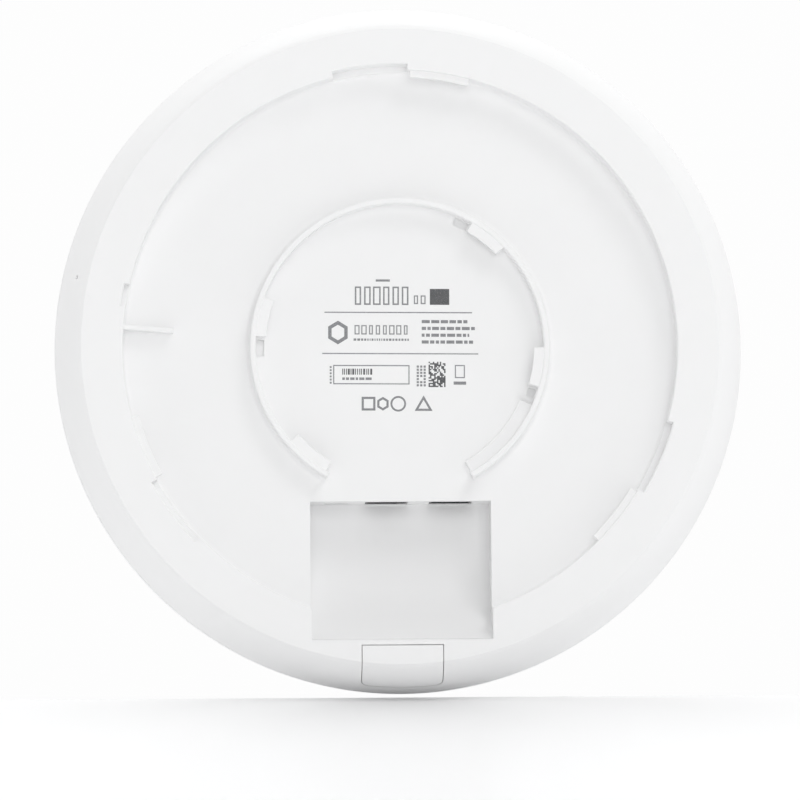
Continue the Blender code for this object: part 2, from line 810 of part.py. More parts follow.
def make_jacks():
    for side, centre in zip(("left", "right"), PORT_CENTRES):
        middle = (centre, -(JACK_FACE - JACK_LENGTH / 2), -PORT_DEPTH)
        shell = block(
            f"ethernet_jack_{side}_shell", middle, (JACK_WIDTH, JACK_LENGTH, JACK_HEIGHT)
        )
        hollow_size = (
            JACK_WIDTH - 2 * JACK_SHELL,
            JACK_LENGTH,
            JACK_HEIGHT - 2 * JACK_SHELL,
        )
        hollow = block(
            f"jack_hollow_{side}", (middle[0], middle[1] - JACK_SHELL, middle[2]), hollow_size
        )
        cut(shell, hollow)
        finish_part(shell, "tin_plate")
        make_jack_insert(side, centre, middle)


def make_jack_insert(side, centre, middle):
    """The moulded body inside a jack's shell, whose neck fills the window, with the plug's cavity."""
    size = (
        JACK_WIDTH - 2 * JACK_SHELL - 2 * GAP,
        JACK_LENGTH - JACK_SHELL - 2 * GAP,
        JACK_HEIGHT - 2 * JACK_SHELL - 2 * GAP,
    )
    insert = block(
        f"ethernet_jack_{side}_insert", (middle[0], middle[1] - JACK_SHELL / 2, middle[2]), size
    )
    neck_front = BAY_TOP - GAP
    neck_back = JACK_FACE - GAP - BURY
    neck = block(
        f"neck_{side}",
        (centre, -(neck_front + neck_back) / 2, middle[2]),
        (PORT_WIDTH - 2 * GAP, neck_front - neck_back, PORT_HEIGHT - 2 * GAP),
    )
    join(insert, neck)
    cavity = block(
        f"plug_cavity_{side}",
        (centre, middle[1] - INSERT_WALL * 3, middle[2] + INSERT_WALL / 2),
        (size[0] - 2 * INSERT_WALL, size[1], size[2] - 3 * INSERT_WALL),
    )
    latch = block(
        f"latch_slot_{side}",
        (centre, middle[1] - INSERT_WALL * 3, middle[2] - size[2] / 2 + 2 * INSERT_WALL),
        (size[0] / 2, size[1], 2 * INSERT_WALL),
    )
    cut(insert, cavity, latch)
    finish_part(insert, "black_plastic")


def board_notch(outer_radius, margin):
    """A disc's outline with a notch open to the bottom that clears the port bay."""
    half = BAY_HALF_WIDTH + BAY_WALL + margin
    top = JACK_FACE - GAP
    corner = math.degrees(math.asin(half / outer_radius))
    outline = arc(outer_radius, -180.0 + corner, 180.0 - corner, 60)
    return outline + [(half, -top), (-half, -top)]


def make_main_board():
    holes = [
        circle(SCREW_RADIUS + GAP, 12, at(BOSS_CIRCLE, angle, 0.0)[:2])
        for angle in BOARD_SCREW_ANGLES + PLATE_SCREW_ANGLES
    ]
    outline = board_notch(BOARD_RADIUS, 2 * GAP)
    board = plate("main_board", [outline] + holes, -BOARD_FRONT, -BOARD_REAR)
    finish_part(board, "board_green")


CHIPS = {
    # name: (x, y, side, shield's width and height)
    "processor": (0.0, 0.030, 0.019, 0.036, 0.030),
    "radio_5ghz": (-0.030, -0.003, 0.013, 0.020, 0.030),
    "radio_2ghz": (0.030, 0.002, 0.012, 0.020, 0.026),
}


def make_chip_stack(name, x, y, side, width, height):
    """A chip, the shield can over it and the thermal pad that leads its heat to the spreader."""
    top = BOARD_REAR - GAP
    chip = block(f"{name}_chip", (x, y, -(top - CHIP_HEIGHT / 2)), (side, side, CHIP_HEIGHT))
    finish_part(chip, "chip_resin")
    shield = block(f"{name}_shield", (x, y, -(top - SHIELD_HEIGHT / 2)), (width, height, SHIELD_HEIGHT))
    inside = block(
        f"{name}_shield_hollow",
        (x, y, -(top - SHIELD_HEIGHT / 2 + SHIELD_WALL)),
        (width - 2 * SHIELD_WALL, height - 2 * SHIELD_WALL, SHIELD_HEIGHT),
    )
    cut(shield, inside)
    finish_part(shield, "tin_plate")
    pad_depth = top - SHIELD_HEIGHT - GAP - PAD_THICKNESS / 2
    pad = block(
        f"{name}_thermal_pad",
        (x, y, -pad_depth),
        (side + PAD_MARGIN, side + PAD_MARGIN, PAD_THICKNESS),
    )
    finish_part(pad, "pad_grey")


def make_heat_spreader():
    """A cast D-shaped plate over the shields, with straight fins that stand towards the rear cover."""
    flat = -(JACK_FACE - JACK_LENGTH - 2 * GAP)
    sweep = math.degrees(math.acos(flat / SPREADER_RADIUS))
    low = SPREADER_REAR
    spreader = plate(
        "heat_spreader",
        [arc(SPREADER_RADIUS, -sweep, sweep, 48)],
        -(low + SPREADER_THICKNESS),
        -low,
    )
    fin_low = FLOOR_UNDERSIDE + 2 * GAP
    for index in range(FIN_COUNT):
        x = (index - (FIN_COUNT - 1) / 2) * FIN_PITCH
        reach = math.sqrt(SPREADER_RADIUS**2 - x**2) - FIN_MARGIN
        bottom = max(-reach, flat + FIN_MARGIN)
        fin = block(
            f"fin_{index}",
            (x, (reach + bottom) / 2, -(fin_low + low + BURY) / 2),
            (FIN_WIDTH, reach - bottom, low + BURY - fin_low),
        )
        join(spreader, fin)
    finish_part(spreader, "die_cast_aluminium")


MAGNETICS_LENGTH = 0.010
MAGNETICS_BELOW = JACK_FACE - JACK_LENGTH - 0.004 - MAGNETICS_LENGTH / 2
SMALL_PARTS = {
    # name: (x, y, width, length, height, material), standing on the board's rear side
    "memory_chip_1": (-0.010, 0.054, 0.009, 0.013, CHIP_HEIGHT, "chip_resin"),
    "memory_chip_2": (0.010, 0.054, 0.009, 0.013, CHIP_HEIGHT, "chip_resin"),
    "flash_chip": (0.028, 0.036, 0.008, 0.006, CHIP_HEIGHT, "chip_resin"),
    "ethernet_magnetics_left": (
        PORT_CENTRES[0],
        -MAGNETICS_BELOW,
        0.015,
        MAGNETICS_LENGTH,
        0.0035,
        "black_plastic",
    ),
    "ethernet_magnetics_right": (
        PORT_CENTRES[1],
        -MAGNETICS_BELOW,
        0.012,
        MAGNETICS_LENGTH,
        0.0035,
        "black_plastic",
    ),
}


def make_small_parts():
    top = BOARD_REAR - GAP
    for name, (x, y, width, length, height, material) in SMALL_PARTS.items():
        piece = block(name, (x, y, -(top - height / 2)), (width, length, height))
        finish_part(piece, material)


POWER_BLOCKS = {
    # name: (distance beside the bay's wall, y, width, length, height)
    "power_transformer": (0.012, -0.055, 0.013, 0.014, 0.009),
    "power_inductor": (0.024, -0.042, 0.008, 0.008, 0.004),
}
CAPACITOR_ASIDE = 0.009
CAPACITOR_ROWS = (-0.054, -0.065)
CAPACITOR_RADIUS = 0.004
CAPACITOR_HEIGHT = 0.010


def make_power_parts():
    """The power stage beside the bay: a transformer and an inductor left of it, two capacitors right."""
    top = BOARD_REAR - GAP
    wall = BAY_HALF_WIDTH + BAY_WALL
    for name, (aside, y, width, length, height) in POWER_BLOCKS.items():
        piece = block(name, (-wall - aside, y, -(top - height / 2)), (width, length, height))
        finish_part(piece, "ferrite")
    for index, y in enumerate(CAPACITOR_ROWS):
        place = (wall + CAPACITOR_ASIDE, y, -(top - CAPACITOR_HEIGHT / 2))
        can = rod(f"capacitor_{index + 1}", place, CAPACITOR_RADIUS, CAPACITOR_HEIGHT)
        finish_part(can, "capacitor_sleeve")


def make_screws():
    """Four screws hold the board, three more hold the antenna plate through it."""
    sets = (
        ("board_screw", BOARD_SCREW_ANGLES, BOARD_FRONT + GAP),
        ("plate_screw", PLATE_SCREW_ANGLES, PLATE_FRONT + GAP),
    )
    for name, angles, under_head in sets:
        for index, angle in enumerate(angles):
            length = SCREW_LENGTH + under_head - BOARD_FRONT
            profile = [
                (0.0, under_head - length),
                (SCREW_RADIUS, under_head - length + SCREW_RADIUS),
                (SCREW_RADIUS, under_head),
                (HEAD_RADIUS, under_head),
                (HEAD_RADIUS, under_head + 0.6 * HEAD_HEIGHT),
                (0.7 * HEAD_RADIUS, under_head + HEAD_HEIGHT),
                (0.0, under_head + HEAD_HEIGHT),
            ]
            screw = turned(f"{name}_{index + 1}", profile, 16)
            place = at(BOSS_CIRCLE, angle, 0.0)
            screw.location = (place[0], place[1], 0.0)
            finish_part(screw, "steel_zinc")


def make_ground_plate():
    """The sheet under the antennas, with three feet that stand on the board."""
    holes = [
        circle(LEAD_HOLE_RADIUS, 12, at(ANTENNA_RADIUS - ANTENNA_WIDTH, angle, 0.0)[:2])
        for angle in ANTENNA_ANGLES
    ]
    holes.append(
        rounded_rectangle(
            -RIBBON_WIDTH / 2 - RIBBON_CLEARANCE,
            RIBBON_WIDTH / 2 + RIBBON_CLEARANCE,
            -RIBBON_BELOW - RIBBON_CLEARANCE,
            -RIBBON_BELOW + RIBBON_CLEARANCE,
            RIBBON_CLEARANCE / 2,
        )
    )
    sheet = plate("ground_plate", [circle(PLATE_RADIUS, 72)] + holes, -PLATE_FRONT, -PLATE_REAR)
    for index, angle in enumerate(PLATE_SCREW_ANGLES):
        low = BOARD_FRONT + GAP
        high = PLATE_REAR + BURY
        foot = rod(
            f"plate_foot_{index}", at(BOSS_CIRCLE, angle, (low + high) / 2), BOSS_RADIUS, high - low
        )
        hole = rod(
            f"plate_hole_{index}",
            at(BOSS_CIRCLE, angle, (low + PLATE_FRONT) / 2),
            SCREW_RADIUS + GAP,
            PLATE_FRONT - low + 2 * OVERSHOOT,
            12,
        )
        join(sheet, foot)
        cut(sheet, hole)
    finish_part(sheet, "tin_plate")


def antenna_top():
    """The depth up to which an antenna can stand under the dome."""
    reach = math.hypot(ANTENNA_RADIUS + ANTENNA_WIDTH / 2, ANTENNA_LENGTH / 2)
    return dome_depth(reach) - 2 * COVER_WALL - GAP


def make_antennas():
    """Four dual-band antennas, each a stamped sheet on two legs, around the plate."""
    top = antenna_top()
    low = PLATE_FRONT + GAP
    for index, angle in enumerate(ANTENNA_ANGLES):
        blade = block(
            f"antenna_{index + 1}",
            at(ANTENNA_RADIUS, angle, top - ANTENNA_SHEET / 2),
            (ANTENNA_LENGTH, ANTENNA_WIDTH, ANTENNA_SHEET),
        )
        blade.rotation_euler = (0.0, 0.0, -math.radians(angle))
        turn = blade.rotation_euler.to_matrix()
        for leg_name, along in ANTENNA_LEG_PLACES.items():
            offset = turn @ Vector((along * ANTENNA_LENGTH, -ANTENNA_WIDTH / 2 + ANTENNA_SHEET, 0.0))
            leg = block(
                f"antenna_leg_{leg_name}_{index}",
                Vector(at(ANTENNA_RADIUS, angle, (top + low) / 2)) + offset,
                (ANTENNA_WIDTH / 6, 2 * ANTENNA_SHEET, top - low),
            )
            leg.rotation_euler = (0.0, 0.0, -math.radians(angle))
            join(blade, leg)
        slot = block(
            f"antenna_slot_{index}",
            at(ANTENNA_RADIUS + ANTENNA_WIDTH / 6, angle, top - ANTENNA_SHEET / 2),
            (ANTENNA_SLOT_SHARE * ANTENNA_LENGTH, ANTENNA_WIDTH / 8, 4 * ANTENNA_SHEET),
        )
        slot.rotation_euler = (0.0, 0.0, -math.radians(angle))
        cut(blade, slot)
        finish_part(blade, "tin_plate")


def lead_path():
    """A lead's (radius, depth) points: inwards from the feed leg, then round and down to the board."""
    hole = ANTENNA_RADIUS - ANTENNA_WIDTH
    outer = ANTENNA_RADIUS - ANTENNA_WIDTH / 2 - 2 * ANTENNA_SHEET - LEAD_RADIUS
    top = PLATE_FRONT + LEAD_RISE
    bottom = BOARD_FRONT + GAP
    points = []
    for step in range(LEAD_STEPS + 1):
        turn = math.radians(90.0 * step / LEAD_STEPS)
        radius = hole + (outer - hole) * (1 - math.sin(turn))
        points.append((radius, top + (bottom - top) * (1 - math.cos(turn))))
    return points


def make_leads():
    """The coaxial leads, each from an antenna's feed leg down through the plate to the board."""
    for index, angle in enumerate(ANTENNA_ANGLES):
        curve = bpy.data.curves.new(f"antenna_lead_{index + 1}", "CURVE")
        curve.dimensions = "3D"
        curve.bevel_depth = LEAD_RADIUS
        curve.bevel_resolution = 1
        curve.use_fill_caps = True
        spline = curve.splines.new("POLY")
        spline.points.add(LEAD_STEPS)
        for point, (radius, depth) in zip(spline.points, lead_path()):
            point.co = (*at(radius, angle, depth), 1.0)
        lead = bpy.data.objects.new(curve.name, curve)
        bpy.context.scene.collection.objects.link(lead)
        finish_part(lead, "coax_jacket")


def light_ring_front():
    outer = LIGHT_INNER_RADIUS + LIGHT_WIDTH
    return dome_depth(outer) - GROOVE_DEPTH - COVER_WALL - 2 * GAP


def led_board_rear():
    return light_ring_front() - LIGHT_HEIGHT - GAP - LED_HEIGHT - GAP - LED_BOARD_THICKNESS


def make_light():
    """The light guide under the dome's groove, and the board with the LEDs that feed it."""
    front = light_ring_front()
    outer = LIGHT_INNER_RADIUS + LIGHT_WIDTH
    profile = [
        (LIGHT_INNER_RADIUS, front - LIGHT_HEIGHT),
        (outer, front - LIGHT_HEIGHT),
        (outer, front - GAP),
        (outer - GAP, front),
        (LIGHT_INNER_RADIUS, front),
    ]
    finish_part(turned("light_ring", profile, 48), "light_guide")
    rear = led_board_rear()
    board = plate(
        "led_board",
        [circle(outer + LED_BOARD_MARGIN, 48), circle(PEDESTAL_RADIUS - 2 * PEDESTAL_WALL, 24)],
        -(rear + LED_BOARD_THICKNESS),
        -rear,
    )
    finish_part(board, "led_board_white")
    for index, angle in enumerate(LED_ANGLES):
        depth = rear + LED_BOARD_THICKNESS + GAP / 2 + LED_HEIGHT / 2
        led = block(
            f"status_led_{index + 1}",
            at(LIGHT_INNER_RADIUS + LIGHT_WIDTH / 2, angle, depth),
            (LED_SIZE, LED_SIZE, LED_HEIGHT),
        )
        finish_part(led, "led_lens")


def make_pedestal():
    """A short tube that carries the LED board on the ground plate."""
    low = PLATE_FRONT + GAP
    high = led_board_rear() - GAP
    profile = [
        (PEDESTAL_RADIUS - PEDESTAL_WALL, low),
        (PEDESTAL_RADIUS, low),
        (PEDESTAL_RADIUS, high),
        (PEDESTAL_RADIUS - PEDESTAL_WALL, high),
    ]
    finish_part(turned("led_pedestal", profile, 32), "white_plastic")


def make_ribbon():
    """The film ribbon from the main board, through the ground plate, to the LED board."""
    low = -(BOARD_FRONT + GAP)
    high = -(led_board_rear() - GAP)
    bottom = -RIBBON_BELOW
    outline = [
        (bottom, low),
        (bottom + RIBBON_THICKNESS, low),
        (bottom + RIBBON_THICKNESS, high),
        (bottom, high),
    ]
    half = RIBBON_WIDTH / 2
    ribbon = plate("led_ribbon", [outline], -half, half, SIDE_PLANE)
    finish_part(ribbon, "ribbon_film")


make_rear_cover()
make_front_dome()
make_cable_cover()
make_reset_button()
make_reset_switch()
make_jacks()
make_main_board()
for chip_name, chip in CHIPS.items():
    make_chip_stack(chip_name, *chip)
make_heat_spreader()
make_small_parts()
make_power_parts()
make_ground_plate()
make_screws()
make_antennas()
make_leads()
make_light()
make_pedestal()
make_ribbon()
bpy.context.view_layer.update()
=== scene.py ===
"""Looks of a round ceiling access point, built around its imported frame.

The rear faces -Y, the dome faces +Y and the top is at +Z. Angles are in degrees clockwise from the top, as
seen from behind. A depth runs along +Y from the plane of the rear rim. All sizes are in metres.
"""

import json
import logging
import math
import random
from collections.abc import Iterable, Sequence
from dataclasses import dataclass, field
from enum import Enum

import bmesh
import bpy
from mathutils import Matrix, Vector


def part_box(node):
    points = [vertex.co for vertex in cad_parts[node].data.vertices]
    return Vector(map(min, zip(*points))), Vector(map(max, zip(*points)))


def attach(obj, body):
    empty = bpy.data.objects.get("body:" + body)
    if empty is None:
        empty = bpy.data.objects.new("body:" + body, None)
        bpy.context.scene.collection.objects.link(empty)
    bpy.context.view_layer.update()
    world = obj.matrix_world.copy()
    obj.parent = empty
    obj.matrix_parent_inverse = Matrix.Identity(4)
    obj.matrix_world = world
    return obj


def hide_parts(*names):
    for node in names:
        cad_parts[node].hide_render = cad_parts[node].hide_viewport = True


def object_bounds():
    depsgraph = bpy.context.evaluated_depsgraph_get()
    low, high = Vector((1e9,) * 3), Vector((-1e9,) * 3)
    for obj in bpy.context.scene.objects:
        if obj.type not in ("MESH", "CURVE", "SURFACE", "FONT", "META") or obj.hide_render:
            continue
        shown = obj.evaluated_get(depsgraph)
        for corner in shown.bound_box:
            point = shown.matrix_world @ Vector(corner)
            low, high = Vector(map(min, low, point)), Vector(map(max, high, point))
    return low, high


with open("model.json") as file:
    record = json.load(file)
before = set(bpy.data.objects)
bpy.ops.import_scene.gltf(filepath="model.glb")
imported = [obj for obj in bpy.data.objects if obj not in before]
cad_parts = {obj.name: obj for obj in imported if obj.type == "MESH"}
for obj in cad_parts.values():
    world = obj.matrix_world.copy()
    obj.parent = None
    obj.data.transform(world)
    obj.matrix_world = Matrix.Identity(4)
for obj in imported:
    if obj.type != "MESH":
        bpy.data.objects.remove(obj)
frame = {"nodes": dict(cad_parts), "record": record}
CAD_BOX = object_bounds()
log = logging.getLogger("access_point")

Point2 = tuple[float, float]
Profile = list[Point2]

GAP = 0.0003
BURY = 0.0006
OVERSHOOT = 0.002
ROUND_STEPS = 288
MERGE = 1e-6


# ---------------------------------------------------------------------------------------------- shapes


class Operation(Enum):
    """What a helper solid does to the solid it meets."""

    CUT = "DIFFERENCE"
    JOIN = "UNION"
    CROSS = "INTERSECT"


def place(radius: float, angle: float, depth: float) -> Vector:
    """Gives the point at a radius, an angle clockwise from the top, and a depth."""
    turn = math.radians(angle)
    return Vector((radius * math.sin(turn), depth, radius * math.cos(turn)))


def fillet(centre: Point2, radius: float, start: float, end: float, steps: int = 4) -> Profile:
    """Gives the points of a small arc in a profile.

    Args:
        centre: The arc's centre as (radius, depth).
        radius: The arc's radius.
        start: Start angle in degrees, 0 along the radius and 90 along the depth.
        end: End angle in degrees.
        steps: How many straight pieces the arc has.

    Returns:
        The arc's points as (radius, depth).
    """
    points = []
    for step in range(steps + 1):
        turn = math.radians(start + (end - start) * step / steps)
        points.append((centre[0] + radius * math.cos(turn), centre[1] + radius * math.sin(turn)))
    return points


def object_from(mesh: bmesh.types.BMesh, name: str) -> bpy.types.Object:
    """Turns a bmesh into a linked object at the origin and frees the bmesh."""
    data = bpy.data.meshes.new(name)
    mesh.to_mesh(data)
    mesh.free()
    made = bpy.data.objects.new(name, data)
    bpy.context.scene.collection.objects.link(made)
    return made


def close_up(mesh: bmesh.types.BMesh) -> None:
    """Welds seams and poles, fills open ends and turns all faces outwards."""
    bmesh.ops.remove_doubles(mesh, verts=mesh.verts, dist=MERGE)
    rims = [edge for edge in mesh.edges if edge.is_boundary]
    if rims:
        bmesh.ops.holes_fill(mesh, edges=rims, sides=0)
    bmesh.ops.recalc_face_normals(mesh, faces=mesh.faces)


def round_edges(mesh: bmesh.types.BMesh, width: float, segments: int = 3, sharp: float = 35.0) -> None:
    """Rounds every edge that is sharper than an angle.

    Args:
        mesh: The solid to round.
        width: How far the rounding reaches from the edge; 0 leaves the solid as it is.
        segments: Faces across the rounding.
        sharp: Smallest angle between faces, in degrees, that counts as an edge.
    """
    if width <= 0:
        return
    limit = math.radians(sharp)
    edges = [edge for edge in mesh.edges if edge.is_manifold and edge.calc_face_angle(0.0) > limit]
    bmesh.ops.bevel(
        mesh,
        geom=edges,
        offset=width,
        offset_type="OFFSET",
        affect="EDGES",
        segments=segments,
        profile=0.5,
        clamp_overlap=True,
        material=-1,
    )


def spun(
    name: str,
    profile: Sequence[Point2],
    start: float = 0.0,
    end: float = 360.0,
    steps: int = ROUND_STEPS,
    looped: bool = True,
    rounding: float = 0.0,
) -> bpy.types.Object:
    """Spins a profile about the case's axis into a closed solid.

    Args:
        name: The new object's name.
        profile: Points as (radius, depth).
        start: Angle at which the spin starts.
        end: Angle at which it ends; 360 further on makes a full turn.
        steps: Number of steps of the spin.
        looped: Whether the profile's last point joins its first; if not, both rims are filled with a disc.
        rounding: Width of the rounding on the solid's sharp edges.

    Returns:
        The new object.
    """
    mesh = bmesh.new()
    verts = [mesh.verts.new(place(radius, start, depth)) for radius, depth in profile]
    edges = [mesh.edges.new(pair) for pair in zip(verts, verts[1:])]
    if looped:
        edges.append(mesh.edges.new((verts[-1], verts[0])))
    bmesh.ops.spin(
        mesh,
        geom=verts + edges,
        cent=(0.0, 0.0, 0.0),
        axis=(0.0, 1.0, 0.0),
        angle=math.radians(end - start),
        steps=steps,
        use_merge=end - start >= 360.0,
    )
    close_up(mesh)
    round_edges(mesh, rounding)
    return object_from(mesh, name)


def sector(
    name: str, radii: Point2, angles: Point2, depths: Point2, rounding: float = 0.0
) -> bpy.types.Object:
    """Makes a block between two radii, two angles and two depths, with rounded edges if asked."""
    steps = max(3, round((angles[1] - angles[0]) / 1.25))
    profile = [(radii[0], depths[0]), (radii[1], depths[0]), (radii[1], depths[1]), (radii[0], depths[1])]
    return spun(name, profile, angles[0], angles[1], steps, rounding=rounding)


def block(
    name: str, centre: Vector, size: Sequence[float], rounding: float = 0.0, turn: float = 0.0
) -> bpy.types.Object:
    """Makes a box with rounded edges.

    Args:
        name: The new object's name.
        centre: The box's centre.
        size: Its sizes along X, Y and Z before it is turned.
        rounding: Width of the rounding on its edges.
        turn: Turn about the case's axis, in degrees clockwise as seen from behind.

    Returns:
        The new object.
    """
    mesh = bmesh.new()
    bmesh.ops.create_cube(mesh, size=1.0)
    bmesh.ops.scale(mesh, vec=size, verts=mesh.verts)
    round_edges(mesh, rounding)
    matrix = Matrix.Translation(centre) @ Matrix.Rotation(math.radians(turn), 4, "Y")
    bmesh.ops.transform(mesh, matrix=matrix, verts=mesh.verts)
    return object_from(mesh, name)


def rod(name: str, centre: Vector, direction: Vector, radius: float, length: float, steps: int) -> bpy.types.Object:
    """Makes a cylinder along a direction."""
    mesh = bmesh.new()
    bmesh.ops.create_cone(
        mesh, cap_ends=True, segments=steps, radius1=radius, radius2=radius, depth=length
    )
    turn = direction.to_track_quat("Z", "Y").to_matrix().to_4x4()
    bmesh.ops.transform(mesh, matrix=Matrix.Translation(centre) @ turn, verts=mesh.verts)
    return object_from(mesh, name)


def prism(name: str, corners: Iterable[Vector], sweep: Vector, rounding: float = 0.0) -> bpy.types.Object:
    """Sweeps a flat outline along a straight line into a closed solid."""
    mesh = bmesh.new()
    face = mesh.faces.new([mesh.verts.new(corner) for corner in corners])
    grown = bmesh.ops.extrude_face_region(mesh, geom=[face])["geom"]
    moved = [item for item in grown if isinstance(item, bmesh.types.BMVert)]
    bmesh.ops.translate(mesh, verts=moved, vec=sweep)
    close_up(mesh)
    round_edges(mesh, rounding)
    return object_from(mesh, name)


def flared(name: str, low: Vector, high: Vector, flare: float, steps: int = 4) -> bpy.types.Object:
    """Makes a cutter that rounds the edges of an opening in a flat face.

    Args:
        name: The new object's name.
        low: The opening's corner with the lowest X and Z, at the depth of the flat face.
        high: Its corner with the highest X and Z.
        flare: Radius of the rounding.
        steps: Faces across the rounding.

    Returns:
        The new object.
    """
    mesh = bmesh.new()
    middle = (low + high) / 2
    half = (high - low) / 2
    levels = [(-BURY / 4, flare + BURY / 4)]
    for reach, depth in fillet((flare, flare), flare, 180.0, 270.0, steps):
        levels.append((reach, depth))
    levels.append((flare, -OVERSHOOT))
    loop = [mesh.verts.new((x, 0.0, z)) for x, z in ((-1, -1), (1, -1), (1, 1), (-1, 1))]
    face = mesh.faces.new(loop)
    before = (1.0, 1.0)
    for index, (reach, depth) in enumerate(levels):
        if index:
            grown = bmesh.ops.extrude_face_region(mesh, geom=[face])["geom"]
            face = next(item for item in grown if isinstance(item, bmesh.types.BMFace))
        now = (half.x + reach, half.z + reach)
        bmesh.ops.scale(mesh, vec=(now[0] / before[0], 1.0, now[1] / before[1]), verts=face.verts)
        for vert in face.verts:
            vert.co.y = depth
        before = now
    bmesh.ops.translate(mesh, vec=middle, verts=mesh.verts)
    close_up(mesh)
    return object_from(mesh, name)


def gathered(name: str, pieces: Sequence[bpy.types.Object]) -> bpy.types.Object:
    """Puts solids that don't touch each other into one object and removes the single ones."""
    mesh = bmesh.new()
    for piece in pieces:
        mesh.from_mesh(piece.data)
        bpy.data.objects.remove(piece)
    return object_from(mesh, name)


def combine(solid: bpy.types.Object, operation: Operation, pieces: Sequence[bpy.types.Object]) -> None:
    """Cuts, joins or crosses a solid with helpers, bakes the result into its mesh and drops the helpers.

    Args:
        solid: The object that is changed.
        operation: What the helpers do to it.
        pieces: The helpers, which don't overlap each other.
    """
    helper = gathered("helper", pieces)
    modifier = solid.modifiers.new("combine", "BOOLEAN")
    modifier.operation = operation.value
    modifier.solver = "EXACT"
    modifier.object = helper
    graph = bpy.context.evaluated_depsgraph_get()
    old = solid.data
    solid.data = bpy.data.meshes.new_from_object(solid.evaluated_get(graph))
    solid.modifiers.clear()
    solid.data.name = solid.name
    bpy.data.meshes.remove(old)
    bpy.data.objects.remove(helper)


def smooth(piece: bpy.types.Object, sharp: float = 30.0) -> None:
    """Shades round faces smooth and keeps flat faces flat."""
    piece.data.shade_smooth()
    piece.data.set_sharp_from_angle(angle=math.radians(sharp))
    for face in piece.data.polygons:
        if max(abs(part) for part in face.normal) > 1 - MERGE:
            face.use_smooth = False
    weighted = piece.modifiers.new("flat_faces_stay_flat", "WEIGHTED_NORMAL")
    weighted.keep_sharp = True
    weighted.weight = 80


# -------------------------------------------------------------------------------------------- finishes


class Texture(Enum):
    """The surface that a finish has when seen close up."""

    MOULDED = "fine matte mould texture"
    SATIN = "polished mould with a faint waviness"
    BRUSHED = "rolled or brushed metal"
    CAST = "die-cast skin"
    LAMINATE = "solder mask over copper traces"
    RESIN = "moulded epoxy"
    FILM = "film with printed conductors"
    WOUND = "tape round a core"
    RUBBER = "soft filled silicone"
    PRINT = "thin pad-printed ink"


